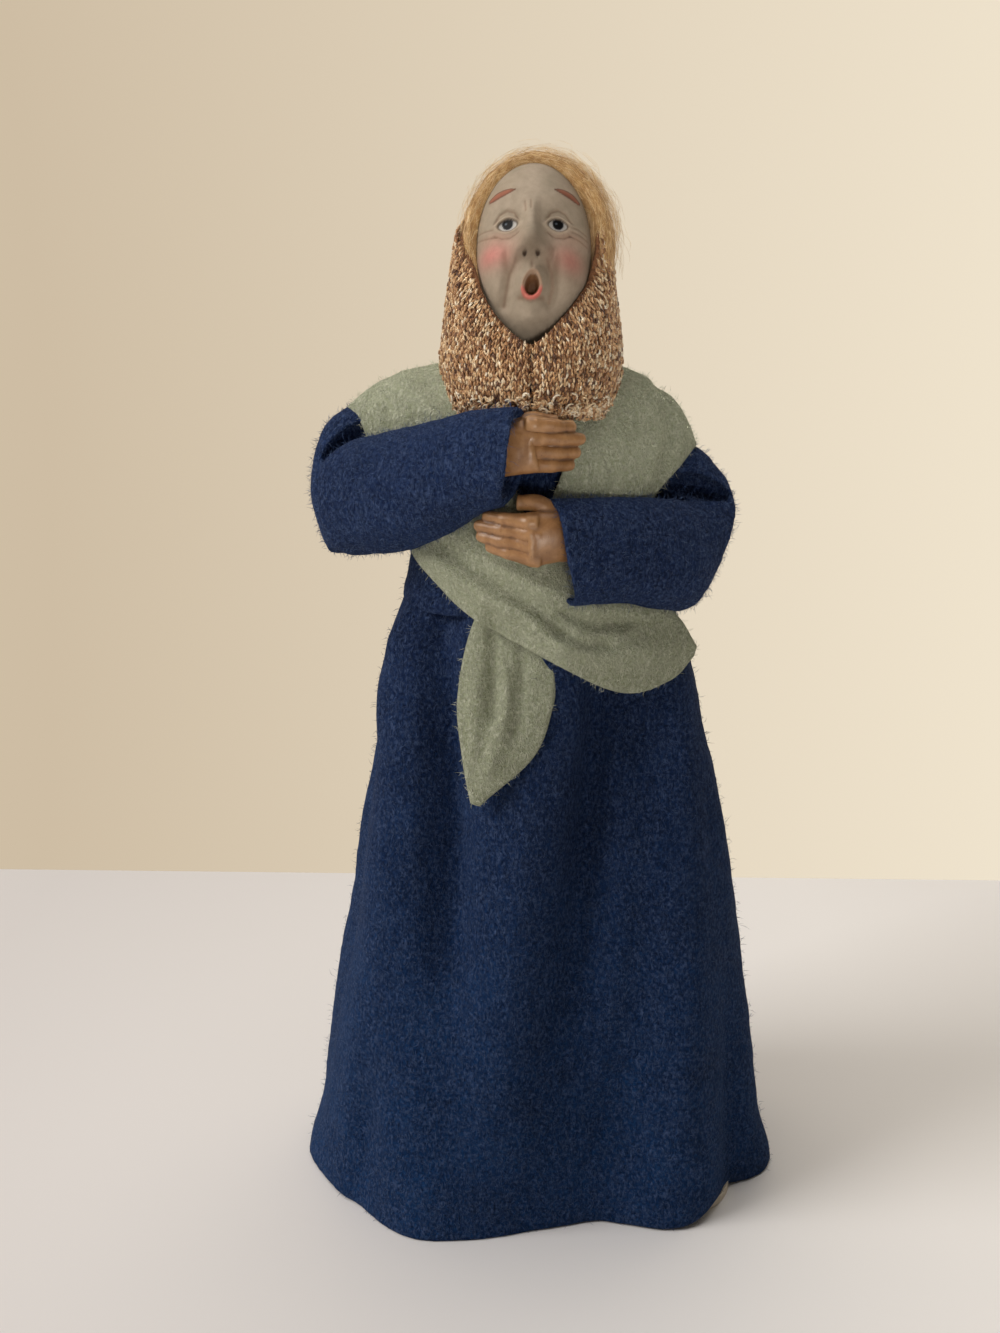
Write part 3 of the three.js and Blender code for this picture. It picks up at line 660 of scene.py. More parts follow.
def oval_tube(rows, steps=6, around=40, edge=(0, 0, 0)):
    """An oval tube along rows of x, y, z of the middle, half height and half depth. The
    upper side of its last ring may stand out past the lower one by twice edge's first
    number, the side that faces forward by the second; the third does for the first ring
    what the first does for the last."""
    count = (len(rows) - 1) * steps
    at = np.arange(count + 1) / count
    here = through_rows(rows, at)
    before = through_rows(rows, np.clip(at - 0.5 / count, 0, 1))
    after = through_rows(rows, np.clip(at + 0.5 / count, 0, 1))
    ways = unit(after[:, :3] - before[:, :3])
    up = np.array([0, 0, 1.0])
    angle = 2 * np.pi * np.arange(around) / around
    sine, cosine = np.sin(angle), np.cos(angle)
    rings = []
    for i, way in enumerate(ways):
        up = unit(up - (up @ way) * way)
        side = np.cross(way, up)
        front = np.maximum(0, -np.sign(side[1]) * sine) ** 2
        lean = ramp(i / count, 0.62, 1) * (edge[0] * cosine + edge[1] * front)
        lean = (lean - ramp(1 - i / count, 0.66, 1) * edge[2] * cosine)[:, None] * way
        ring = here[i, :3] + lean + here[i, 3] * cosine[:, None] * up
        rings.append(ring + here[i, 4] * sine[:, None] * side)
    return np.stack(rings)


def closed_tube(rings):
    """Points and faces of a tube of rings closed by fans at both ends."""
    rows, around, _ = rings.shape
    ends = [rings[0].mean(axis=0), rings[-1].mean(axis=0)]
    points = np.concatenate([rings.reshape(-1, 3), ends])
    faces = [list(f) for f in grid_faces(rows, around, False, True)]
    first, last = rows * around, rows * around + 1
    for j in range(around):
        k = (j + 1) % around
        faces.append([first, k, j])
        faces.append([last, (rows - 1) * around + j, (rows - 1) * around + k])
    return points, faces


def loose_mesh(name, points, faces):
    """A working mesh object that isn't a piece."""
    made = new_object(name, points, faces)
    with editing(made) as bm:
        bmesh.ops.recalc_face_normals(bm, faces=bm.faces)
    return made


def apply_modifiers(piece):
    """Turn what the modifiers make of a piece into its mesh."""
    depsgraph = bpy.context.evaluated_depsgraph_get()
    mesh = bpy.data.meshes.new_from_object(piece.evaluated_get(depsgraph))
    old = piece.data
    piece.modifiers.clear()
    piece.data = mesh
    bpy.data.meshes.remove(old)


def loose_tube(rings):
    return loose_mesh("tube", *closed_tube(rings))


def combine(piece, other, operation, crossing=False):
    """Join a working mesh to a piece, or cut it out of the piece."""
    modifier = piece.modifiers.new("combine", "BOOLEAN")
    modifier.operation = operation
    modifier.solver = "EXACT"
    modifier.use_self = crossing
    modifier.object = other
    apply_modifiers(piece)
    bpy.data.objects.remove(other)


def remesh(piece, voxel):
    """Make one closed skin of a piece's crossing parts."""
    modifier = piece.modifiers.new("remesh", "REMESH")
    modifier.mode = "VOXEL"
    modifier.voxel_size = voxel * MM
    apply_modifiers(piece)
    keep_largest(piece)


def keep_largest(piece):
    """Drop loose bits that a cut left behind."""
    with editing(piece) as bm:
        left = set(bm.verts)
        groups = []
        while left:
            stack = [left.pop()]
            group = []
            while stack:
                here = stack.pop()
                group.append(here)
                near = {edge.other_vert(here) for edge in here.link_edges} & left
                left -= near
                stack += near
            groups.append(group)
        for group in sorted(groups, key=len)[:-1]:
            bmesh.ops.delete(bm, geom=group, context="VERTS")


def smooth_points(piece, rounds):
    """Relax a mesh: each point moves towards the middle of its neighbours, then back."""
    points, _, _ = mesh_arrays(piece)
    means = neighbour_means(piece)
    for _ in range(rounds):
        for way in (0.5, -0.52):
            points = points + way * (means(points) - points)
    set_points(piece, points)


# Both arms: x, y, z of the middle, half height and half depth, from the shoulder down
RIGHT_UPPER = [
    (-34, 4, 243, 14, 11), (-48, 3, 243.4, 15.6, 12), (-57.2, 0.5, 241.6, 14.2, 11.5),
    (-61.8, -5, 233, 10.4, 10.5), (-61, -11, 222, 7.4, 10), (-59.6, -14.5, 215, 5.4, 7),
]
RIGHT_FOREARM = [
    (-64.2, -11, 226.6, 9, 5), (-61, -13.5, 227, 15, 10), (-53, -18.5, 230.6, 17.4, 12),
    (-43, -25.5, 233.6, 17.6, 12), (-33, -32, 237.4, 16.4, 11), (-21, -38.5, 242.4, 14.6, 10.2),
    (-9.6, -44.5, 245.6, 12.8, 9.6),
]
LEFT_UPPER = [
    (26, 4, 236, 12, 10), (37, 3, 234.4, 13, 11.5), (44.4, 0, 230.8, 12, 11),
    (49.6, -5, 225.5, 8.8, 10), (46, -11, 211, 6, 9), (42.2, -15.5, 199, 3.4, 6),
]
LEFT_FOREARM = [
    (52.2, -10.5, 213.2, 14, 5), (46.4, -14, 213, 15.6, 9), (39.8, -19, 213.2, 16.8, 11.5),
    (33.5, -25, 214.8, 16.8, 12), (25, -31, 217, 15.8, 11), (15, -37.5, 217.8, 15.4, 10),
    (4.8, -43, 218.2, 15.4, 9.6),
]
# How the cuffs lean out, as oval_tube's edge, and the creases at the elbows, cut out as tubes
RIGHT_CUFF, LEFT_CUFF = (5.2, 4.2, 0), (3.4, 3, 6.8)
RIGHT_CREASE = [
    (-67, -13, 241, 1.8, 3.4), (-61, -11, 245.6, 3.2, 6), (-55, -11.5, 249.4, 3, 6),
    (-49, -14, 252, 1.2, 2.4),
]
LEFT_CREASE = [
    (56, -9.5, 229.6, 1.6, 3.4), (50.5, -8.5, 231.8, 3.4, 7), (44, -9.5, 233.6, 3.6, 7.5),
    (36.5, -13, 234.6, 1.3, 3),
]
# Wrinkles in the felt: path of points, depth, width
RIGHT_WRINKLES = [
    ([(-66, -12, 247.6), (-60, -11, 251.8), (-52, -11, 254.8)], 1.2, 1.8),
    ([(-64, -24, 236), (-52, -31, 240), (-42, -36, 243)], -0.8, 4),
    ([(-66, -16, 222), (-56, -28, 222), (-44, -38, 226)], 0.9, 5),
    ([(-44, -34, 250), (-34, -42, 250), (-22, -48, 252)], 0.7, 4),
    ([(-48, -36, 232), (-30, -44, 238), (-14, -52, 242)], 0.6, 6),
    ([(-40, -34, 220), (-28, -42, 227), (-16, -50, 235)], -0.8, 3.5),
    ([(-62, -20, 214), (-56, -24, 214), (-50, -28, 217)], -0.7, 3),
]
LEFT_WRINKLES = [
    ([(38, -11, 237.5), (46, -12, 239.5), (54, -11, 236), (59, -9, 230)], 1.4, 2.2),
    ([(54, -16, 224), (46, -28, 220), (34, -38, 221)], -0.8, 4),
    ([(50, -16, 204), (42, -30, 206), (30, -40, 210)], 0.8, 4.5),
    ([(40, -28, 228), (24, -40, 229), (8, -50, 230)], 0.6, 5),
    ([(30, -36, 206), (18, -44, 207), (8, -50, 207)], -0.6, 4),
]


def make_sleeve(name, upper, forearm, edge, crease, wrinkles, node):
    """Upper arm and forearm joined, opened at the cuff and creased at the elbow."""
    cuff = np.array(forearm[-1], float)
    way = unit(cuff[:3] - np.array(forearm[-2][:3], float))
    wall, depth = 2, 15
    hollow = [(*(cuff[:3] + way * along), cuff[3] - wall, cuff[4] - wall)
              for along in (-depth, wall + edge[0])]
    sleeve = loose_mesh(name, *closed_tube(oval_tube(upper)))
    combine(sleeve, loose_tube(oval_tube(forearm, edge=edge)), "UNION")
    combine(sleeve, loose_tube(oval_tube(hollow)), "DIFFERENCE")
    combine(sleeve, loose_tube(oval_tube(crease, 6, 24)), "DIFFERENCE", crossing=True)
    remesh(sleeve, SLEEVE_VOXEL)
    smooth_points(sleeve, 3)
    points, normals, _ = mesh_arrays(sleeve)
    push = uneven(points, (0.3, 9, 3), (0.18, 4, 50), (0.08, 1.6, 0))
    for path, depth, width in wrinkles:
        distance, along = to_paths(points, path)
        push += depth * hump(distance, width) * np.sin(np.pi * np.clip(along, 0.08, 0.92))
    set_points(sleeve, points + normals * push[:, None])
    finish_piece(sleeve, NAVY, [node])
    return sleeve


# The shawl

# The strip row by row: x, y, z of one edge, then of the other, and bulge between them
SHAWL_ROWS = [
    (45.8, -20.5, 185.6, 45, -22, 183.4, 0),
    (39.5, -24, 195.5, 37.4, -29.4, 178.2, 1),
    (28, -28.5, 205, 23.5, -35.8, 176.4, 2.5),
    (5, -36, 215, 4, -41, 186, 1.5),
    (-7, -34, 229, -25, -34.5, 202, 2.5),
    (-10, -30.5, 246, -43, -19, 222, 3.5),
    (-12, -20, 261, -54, -8, 250, 3.5),
    (-21, -4, 268.5, -59.5, 3, 254.5, 4.6),
    (-17, 12, 269, -44, 25, 231, 4.5),
    (-4, 16.5, 268.5, -4, 34, 207, 3),
    (9.5, 12, 269, 33, 25, 226, 4.5),
    (13.5, -4, 268.5, 45.5, 3, 244.5, 7),
    (5, -20, 261, 40.5, -9, 240, 5),
    (7, -30, 245, 32, -21, 231.5, 3),
    (-1.6, -32.6, 222.6, 21, -31, 210, 1.5),
    (-18.6, -32.4, 198, 4.5, -36.4, 187.5, 1),
    (-24.2, -39, 175, 2.2, -41.2, 173.5, 1.5),
    (-22.8, -42.6, 157, -3.4, -43.8, 158, 1),
    (-20.4, -44.4, 143.4, -19.2, -44.4, 143, 0),
]


def shawl_frame(at, across):
    """Middle skin of the shawl at each place along it, with its outward and width ways."""
    step = 0.006
    here = through_rows(SHAWL_ROWS, at)
    before = through_rows(SHAWL_ROWS, np.maximum(at - step, 0))
    after = through_rows(SHAWL_ROWS, np.minimum(at + step, 1))
    wide = unit(here[:, 3:6] - here[:, :3])
    way = unit((after[:, :3] + after[:, 3:6]) - (before[:, :3] + before[:, 3:6]))
    out = unit(np.cross(way, wide))
    v = across[None, :, None]
    skin = here[:, None, :3] * (1 - v) + here[:, None, 3:6] * v
    bulge = 4 * across * (1 - across) * here[:, 6:7]
    skin = skin + bulge[..., None] * out[:, None]
    return skin, out, wide


# Folds in the shawl: points on it, depth, width
SHAWL_WRINKLES = [
    ([(-15.2, -41, 200), (-14, -43, 187), (-14.9, -44, 170)], -1.6, 2.0),
    ([(-11.6, -41, 198), (-10.6, -43, 185)], -1.3, 1.4),
    ([(-7.4, -41, 197), (-6, -43, 184), (-8.2, -44, 166)], -1.1, 2.0),
    ([(-18.6, -41, 197), (-20, -43, 178), (-20, -44, 160)], 0.9, 2.6),
    ([(-11.6, -42, 190), (-10.4, -43, 172), (-15, -45, 156)], 1.1, 2.4),
    ([(-35.4, -31, 215), (-20, -37, 207.4), (-4, -42, 198.5), (6, -43, 190)], 1.5, 2.6),
    ([(-28, -33, 218), (-14, -38, 210), (-2, -41, 202), (6, -42, 194.6)], -1.1, 2.2),
    ([(-34, -32, 208), (-20, -38, 201), (-6, -42, 192), (3, -43, 186)], -0.9, 2.0),
    ([(-20, -36, 216), (-8, -40, 211), (4, -42, 206)], 0.9, 2.4),
    ([(6, -42, 200.6), (14.8, -41, 196.6), (24, -38, 196.4)], -1.7, 1.8),
    ([(6, -42, 191), (16.4, -42, 186.6), (28, -38, 188)], 1.2, 3.0),
    ([(4, -43, 195), (12, -42, 190.8), (18, -41, 190.6)], -0.9, 1.6),
    ([(12, -41, 202), (24, -37, 201), (36, -30, 197)], 0.8, 2.6),
    ([(33.6, -10, 262), (37.8, -12, 251), (35.4, -16, 242), (32, -20, 233)], -1.5, 2.2),
    ([(30.4, -14, 259), (32.8, -16, 247), (30, -22, 236)], 1.0, 3.0),
    ([(14, -24, 256), (20, -27, 244), (16, -31, 232)], -0.7, 4.0),
    ([(-48.4, -12, 254.6), (-46.6, -14, 251)], -1.3, 1.5),
    ([(-41.4, -14, 263), (-33, -20, 256), (-24, -28, 250)], 0.8, 3.5),
    ([(-34, -14, 262), (-27, -24, 254)], -0.7, 2.6),
    ([(-28, -30, 240), (-20, -34, 226)], -0.6, 4.0),
    ([(-40, 12, 250), (-26, 22, 236), (-6, 30, 222)], -0.9, 5.0),
    ([(36, 12, 246), (24, 22, 234), (4, 30, 222)], 0.9, 5.0),
    ([(-26, 14, 262), (-12, 22, 246), (0, 30, 226)], 0.8, 5.0),
]


SHAWL_FOLD_DEPTH = 1.25
# Distances to a fold are taken as seen from the front, where depth counts for little
FRONT_VIEW = np.array([1, 0.15, 1])


def make_shawl():
    """A felt strip with rounded cut edges, folded by pushes in and out."""
    sections, across, edge = 330, 32, 4
    at = np.linspace(0, 1, sections)
    v = np.linspace(0, 1, across)
    skin, out, wide = shawl_frame(at, v)
    flat = skin.reshape(-1, 3)
    push = uneven(flat, (0.35, 10, 21), (0.15, 4, 50), (0.07, 1.7, 0))
    for path, depth, width in SHAWL_WRINKLES:
        distance, along = to_paths(flat * FRONT_VIEW, np.array(path) * FRONT_VIEW)
        push += SHAWL_FOLD_DEPTH * depth * hump(distance, width)
    skin = skin + (push.reshape(skin.shape[:2]) + 0.2)[..., None] * out[:, None]
    half = FELT / 2
    loop = [skin[:, j] + half * out for j in range(across)]
    loop += round_edge(skin[:, -1], out, 0.9 * wide, half, edge)
    loop += [skin[:, j] - half * out for j in range(across - 1, -1, -1)]
    loop += round_edge(skin[:, 0], -out, -0.9 * wide, half, edge)
    rings = np.stack(loop, axis=1)
    points, faces = closed_tube(rings)
    return make_piece("shawl_felt", points, faces, SAGE, "sage_felt", ["shawl"])


# The knit scarf

CHIN_EDGE = 275.2
SCARF_X, SCARF_Y = -4.2, -8
scarf_half_width = profile([
    (255, 24.4), (261, 25.7), (266, 26.6), (273, 27), (288, 25.2), (296, 24), (305, 22.4),
    (312, 20.4), (319, 16.5),
])
scarf_front_depth = profile([(255, 28), (262, 30), (268, 29), (275, 25.5), (285, 24), (300, 23)])
scarf_back_depth = profile([(262, 26), (275, 28.5), (290, 30.5), (305, 29.5), (312, 27), (319, 22)])


def scarf_point(turn, z, inset):
    """A point on the scarf's plain shape, set in from its outer skin."""
    t = np.radians(turn)
    depth = mix(scarf_front_depth(z), scarf_back_depth(z), ramp(-np.cos(t), -0.35, 0.35)) - inset
    x = SCARF_X - (scarf_half_width(z) - inset) * np.sin(t)
    return np.stack([x, SCARF_Y - depth * np.cos(t), z + 0 * t], axis=-1)


scarf_top_left = profile([
    (0, CHIN_EDGE), (10, 277.8), (23, 281.2), (35, 285.2), (46, 289.6), (57, 294.4),
    (67, 298.8), (77, 303.6), (90, 308), (110, 311.5), (180, 318),
])
scarf_top_right = profile([
    (0, CHIN_EDGE), (12, 278.6), (27, 283.2), (44, 288.6), (60, 293.4), (70, 300.4),
    (79, 307.2), (96, 311), (130, 313.5), (180, 318),
])


def scarf_edges(turn):
    """Heights of the scarf's lower edge and of its edge round the face."""
    from_front = np.minimum(turn, 360 - turn)
    top = np.where(turn < 180, scarf_top_left(from_front), scarf_top_right(from_front))
    bottom = 255.5 + 15.3 * ramp(from_front, 66, 97) + 1.6 * hump(from_front, 5)
    return bottom, top


def scarf_skin(turn, z, inset):
    """A point on the scarf, whose edge round the face curls in to meet the cheeks."""
    _, top = scarf_edges(turn)
    from_front = np.minimum(turn, 360 - turn)
    beside_face = ramp(from_front, 4, 24) * ramp(86 - from_front, 0, 30)
    hug = 3.6 * ramp(9 - (top - z), 0, 9) ** 1.4 * beside_face
    return scarf_point(turn, z, inset + hug)


def slit_dip(turn):
    """How far the knit turns in beside the slit under the chin."""
    from_front = np.minimum(turn % 360, 360 - turn % 360)
    return 1.9 * hump(from_front, 1.9) + 0.7 * hump(from_front, 7)


def knit_ground_material():
    n = new_material("knit_ground")
    color = n.ramp(n.noise(900, 3, 0.6), [(0.3, linear(84, 50, 30)), (0.7, linear(150, 104, 68))])
    return n.finish(Base_Color=color, Roughness=0.9,
                    Normal=n.bump(n.noise(1500, 3, 0.6), 0.0004, 0.7))


def yarn_material():
    n = new_material("marled_yarn")
    tone = n.weigh(n.noise(560, 3, 0.6, 0.6), 0.5, n.attribute("tone"), 0.5)
    color = n.ramp(tone, [
        (0.30, linear(90, 54, 32)), (0.43, linear(160, 112, 68)), (0.53, linear(212, 168, 118)),
        (0.63, linear(244, 218, 176)), (0.76, linear(253, 246, 226))])
    ply = n.noise(1.0, 1.0, 0.5, 0.0, n.stretched((0.4, 0.5, 0.2), (5200, 5200, 1300)))
    color = n.blend(n.range(ply, 0.42, 0.6, 0.0, 0.4), color, linear(136, 92, 62), "MULTIPLY")
    return n.finish(Base_Color=color, Roughness=0.42, Normal=n.bump(ply, 0.0002, 0.6),
                    Specular_IOR_Level=0.5, Sheen_Weight=0.15)


YARN = yarn_material()


def make_scarf():
    """The ground of the knit, closed all round, with its stitches and curls on top."""
    sections, levels, slit, sunk = 170, 34, 0.9, 0.75
    turn = np.linspace(slit, 360 - slit, sections)
    bottom, top = scarf_edges(turn)
    v = np.linspace(0, 1, levels)
    z = bottom[:, None] + (top - bottom)[:, None] * v
    turns = np.repeat(turn[:, None], levels, axis=1)
    rounding = 0.9 * np.abs(2 * v - 1) ** 6
    front = scarf_skin(turns, z, rounding + sunk + slit_dip(turns))
    back = scarf_skin(turns, z, KNIT - rounding)
    rings = np.concatenate([front, back[:, ::-1]], axis=1)
    shell = make_piece("scarf_ground", *closed_tube(rings), knit_ground_material(),
                       "mottled_knit", ["knit_scarf"])

    # Knit stitches: two short lengths of yarn lean together in each
    rng = np.random.default_rng(KNIT_SEED)
    columns, row_height, margin = 108, 1.2, 0.1
    legs = []
    for i in range(columns):
        middle_turn = 360 * (i + 0.5) / columns
        low, high = (float(e) for e in scarf_edges(np.array(middle_turn)))
        tall = high - low - 2 * margin
        rows = int(tall / row_height)
        for j in range(rows):
            base = low + margin + tall * (j + 0.5) / rows
            legs += [(middle_turn, base, -1), (middle_turn, base, 1)]
    legs = np.array([leg for leg in legs if slit + 0.2 < leg[0] < 360 - slit - 0.2])
    count = len(legs)
    spacing = 360 / columns
    wild = rng.normal(size=(count, 7))
    near_hem = ramp(7 - (legs[:, 1] - scarf_edges(legs[:, 0])[0]), 0, 5)
    loose = 1 + 1.5 * near_hem
    shorter = 1 - 0.25 * near_hem * np.abs(wild[:, 5])

    def stitch(t):
        stray = 0.22 * wild[:, 0] * (t - 0.4) + 0.1 * wild[:, 4]
        place = legs[:, 0] + spacing * (legs[:, 2] * (0.06 + 0.42 * t) + loose * stray)
        height = legs[:, 1] + row_height * (1.8 * t - 0.9) * shorter
        height += loose * (0.14 * wild[:, 1] + 0.14 * wild[:, 3] * math.sin(3 * t))
        bow = (0.5 + 0.14 * wild[:, 6] * loose) * math.sin(math.pi * t) ** 0.8
        inset = 0.66 - bow - 0.09 * wild[:, 2] * loose + slit_dip(place)
        return scarf_skin(place, height, inset)

    stitches = make_threads("scarf_stitches", trace(4, stitch), STITCH, 4, YARN, "mottled_knit",
                            0.52 + 0.2 * rng.normal(size=count), pointed=True, smooth=True)

    # Curls of yarn along the hem and up both sides of the slit
    count = 700
    place = rng.uniform(1.6, 84, count) * rng.choice([-1, 1], count)
    low = scarf_edges(place % 360)[0]
    height = low + np.abs(rng.normal(0, 2.2, count)) - 0.3
    height = np.where(np.abs(place) < 8, low + rng.uniform(-0.4, 6, count), height)
    size = rng.uniform(0.6, 1.5, count)
    wild = rng.normal(size=(count, 4))

    def curl(t):
        angle = wild[:, 0] * 2 + (3.6 + wild[:, 1]) * t
        across = size * np.cos(angle) * 2.0 + 1.4 * wild[:, 2] * (t - 0.5)
        up = size * np.sin(angle) * 0.9
        inset = 0.35 - 0.5 * math.sin(math.pi * t) - 0.25 * np.abs(wild[:, 3])
        return scarf_skin((place + across) % 360, height + up, inset + 0.6 * slit_dip(place))

    curls = make_threads("scarf_hem_curls", trace(9, curl), CURL, 4, YARN, "mottled_knit",
                         0.66 + 0.26 * rng.normal(size=count), pointed=True, smooth=True)
    return shell, stitches, curls


# The head and neck

HEAD_SIDE, HEAD_FRONT, HEAD_BACK, HEAD_UP = 17.2, 19.5, 19, 26.2
HEAD_CENTRE = np.array([-3.8, -7, 300.5])
HEAD_NARROWING = 0.12
HEAD_DOWN, JAW_FULLNESS = 29.5, 0.8
HEAD_TILT = math.radians(15)
FACE_MIDDLE = -0.5
EYES = [(-7.2, 3.3), (6.95, 3.2)]
EYE_SIZE = (2.6, 1.6)
MOUTH = (-0.2, -13.9)
MOUTH_HALF_WIDTH, MOUTH_HALF_HEIGHT = 2.15, 2.85
# How far the nostrils lie from the middle of the face, and their height
NOSTRIL_OUT, NOSTRIL_UP = 1.8, -6.3
IRIS, PUPIL = 1.5, 1.26
# Middle line of each brow, from its outer end to its inner end
BROWS = [
    [(-12.0, 11.7), (-9.9, 12.6), (-7.6, 13.2), (-5.2, 13.6)],
    [(12.6, 11.6), (10.6, 12.7), (8.3, 13.3), (6.1, 13.6)],
]
# Middle across and up, half width and height, and how far out
CHEEKS_AND_CHIN = [
    (-11.2, -6.0, 4.0, 4.0, 2.3), (9.8, -7.2, 4.0, 4.2, 2.1), (-11, -14, 2.6, 5.5, 1.2),
    (9.6, -13.6, 2.8, 5.5, 1.1), (-0.6, -22.2, 4.6, 3.2, 2.0),
]
# Colour, strength, middle across and up, half width and height
BLUSH = [
    ((198, 120, 116), 0.68, -12.0, -5.0, 3.4, 3.0), ((200, 132, 122), 0.5, -9.5, -4.6, 4.8, 3.8),
    ((186, 110, 104), 0.6, 10.6, -7.0, 3.2, 3.2), ((186, 128, 114), 0.45, 9, -5.4, 4.8, 4.0),
]
# Grooves in the clay: points across and up the face, depth, width
GROOVES = [
    ([(-4.9, -7.0), (-6.6, -10.2), (-7.4, -14), (-8.2, -18)], -1.7, 1.6),
    ([(4.1, -7.4), (5.4, -10.4), (5.6, -14), (4.6, -17.6)], -1.8, 1.6),
    ([(-2.3, 9.6), (-2.1, 6.6)], -0.28, 0.35),
    ([(-0.7, 9.8), (-0.6, 7.2)], -0.22, 0.35),
    ([(-11.0, 4.4), (-9.4, 6.7), (-7.2, 7.5), (-5.2, 6.6), (-3.8, 4.0)], -0.5, 0.42),
    ([(10.8, 4.6), (9, 6.8), (6.9, 7.5), (4.9, 6.5), (3.5, 4.0)], -0.5, 0.42),
    ([(-11, 0.7), (-8.8, -0.5), (-6.4, -0.6), (-4.1, 0.7)], -0.42, 0.42),
    ([(10.6, 0.8), (8.6, -0.5), (6.2, -0.6), (4, 0.7)], -0.42, 0.42),
    ([(-16.2, 3.4), (-13.4, 3.0), (-11.4, 2.8)], -0.28, 0.34),
    ([(-16.2, 1.4), (-13, 0.6), (-10.4, 0.2)], -0.28, 0.34),
    ([(10.6, 3.4), (12.8, 3.4), (15.2, 2.6)], -0.34, 0.3),
    ([(10.5, 2.2), (13, 1.9), (15.6, 1.2)], -0.34, 0.3),
    ([(10.2, 0.8), (12.8, 0.2), (15.4, -0.6)], -0.3, 0.3),
    ([(-3.8, -17.0), (-0.6, -17.9), (2.9, -17.0)], -0.7, 1.0),
    ([(-0.3, -8.2), (-0.2, -9.4)], -0.3, 0.5),
]


def head_place(local):
    """From the head's own axes to the model's."""
    c, s = math.cos(-HEAD_TILT), math.sin(-HEAD_TILT)
    turn = np.array([[1, 0, 0], [0, c, -s], [0, s, c]])
    return local @ turn.T + HEAD_CENTRE


def mouth_ring(x, z):
    """How far out from the middle of the open mouth, 1 on the edge of the opening."""
    up = (z - MOUTH[1]) / MOUTH_HALF_HEIGHT
    across = x - MOUTH[0] - 0.08 * (z - MOUTH[1])
    half_width = MOUTH_HALF_WIDTH * (1 - 0.14 * np.clip(up, -1, 1))
    return np.sqrt((across / half_width) ** 2 + up ** 2)


def eye_ring(x, z, centre):
    """How far out from the middle of an eye, 1 on the edge of the lids."""
    up = (z - centre[1]) / EYE_SIZE[1]
    wide = ((x - centre[0]) / EYE_SIZE[0]) ** 2
    return np.sqrt(wide + up ** 2 * (1 + 0.5 * np.clip(wide, 0, 1)))


def face_relief(x, z):
    """How far the clay stands out from the plain egg of the head."""
    flat = np.stack([x.ravel(), z.ravel()], axis=-1)
    across = x - FACE_MIDDLE
    side = np.abs(across)
    depth = 0.9 * hump(side - 8.8, 5) * hump(z - 12.2, 2.6)
    for cx, cz, wide, tall, out in CHEEKS_AND_CHIN:
        depth += out * hump(x - cx, wide) * hump(z - cz, tall)
    muzzle = np.sqrt((across / 5.2) ** 2 + ((z + 13.4) / 6.6) ** 2)
    depth += 2 * (1 - ramp(muzzle, 0.5, 1.15))
    down = profile([(-9.8, 0), (-8.6, 0.6), (-7.6, 2.2), (-6.4, 5), (-4.8, 7.4), (-3.2, 8.3),
                    (-1.6, 7.9), (0, 6.4), (1.8, 4.5), (4.5, 2.8), (8, 1.4), (12, 0)])(z)
    width = profile([(-9.6, 3.4), (-6, 4.1), (-3.2, 4.1), (-1, 3.4), (1.2, 2.5), (6, 1.9),
                     (12, 2.6)])(z)
    depth += down * np.exp(-np.abs(across / width) ** 2.7)
    depth += 3 * hump(side - 4.3, 1.4) * hump(z + 5.8, 1.9)
    depth -= 1.2 * hump(side - 6.4, 1.3) * hump(z + 6.2, 2.6)
    depth -= 2.4 * hump(side - NOSTRIL_OUT, 0.62) * hump(z - NOSTRIL_UP, 0.72)
    for path, deep, wide in GROOVES:
        depth += (deep * hump(to_paths(flat, path)[0], wide)).reshape(x.shape)
    for brow in BROWS:
        depth += (0.4 * hump(to_paths(flat, brow)[0], 0.9)).reshape(x.shape)
    for centre in EYES:
        depth -= 1.7 * hump(x - centre[0], 4.4) * hump(z - centre[1], 3.6)
        ring = eye_ring(x, z, centre)
        upper = ramp(z - centre[1], -0.6, 1.0)
        depth += (0.75 + 0.45 * upper) * hump(ring - 1.36, 0.27)
        ball = -0.35 + 0.85 * np.sqrt(np.clip(1.2 - ring ** 2, 0, 1))
        depth += (ball - 0.1) * (1 - ramp(ring, 0.92, 1.08))
    ring = mouth_ring(x, z)
    low = ramp(MOUTH[1] - z, -1.5, 1.5)
    depth += (0.4 + 0.4 * low) * hump(ring - 1.3, 0.24)
    depth -= 4.6 * (1 - ramp(ring, 0.45, 1.06))
    return depth


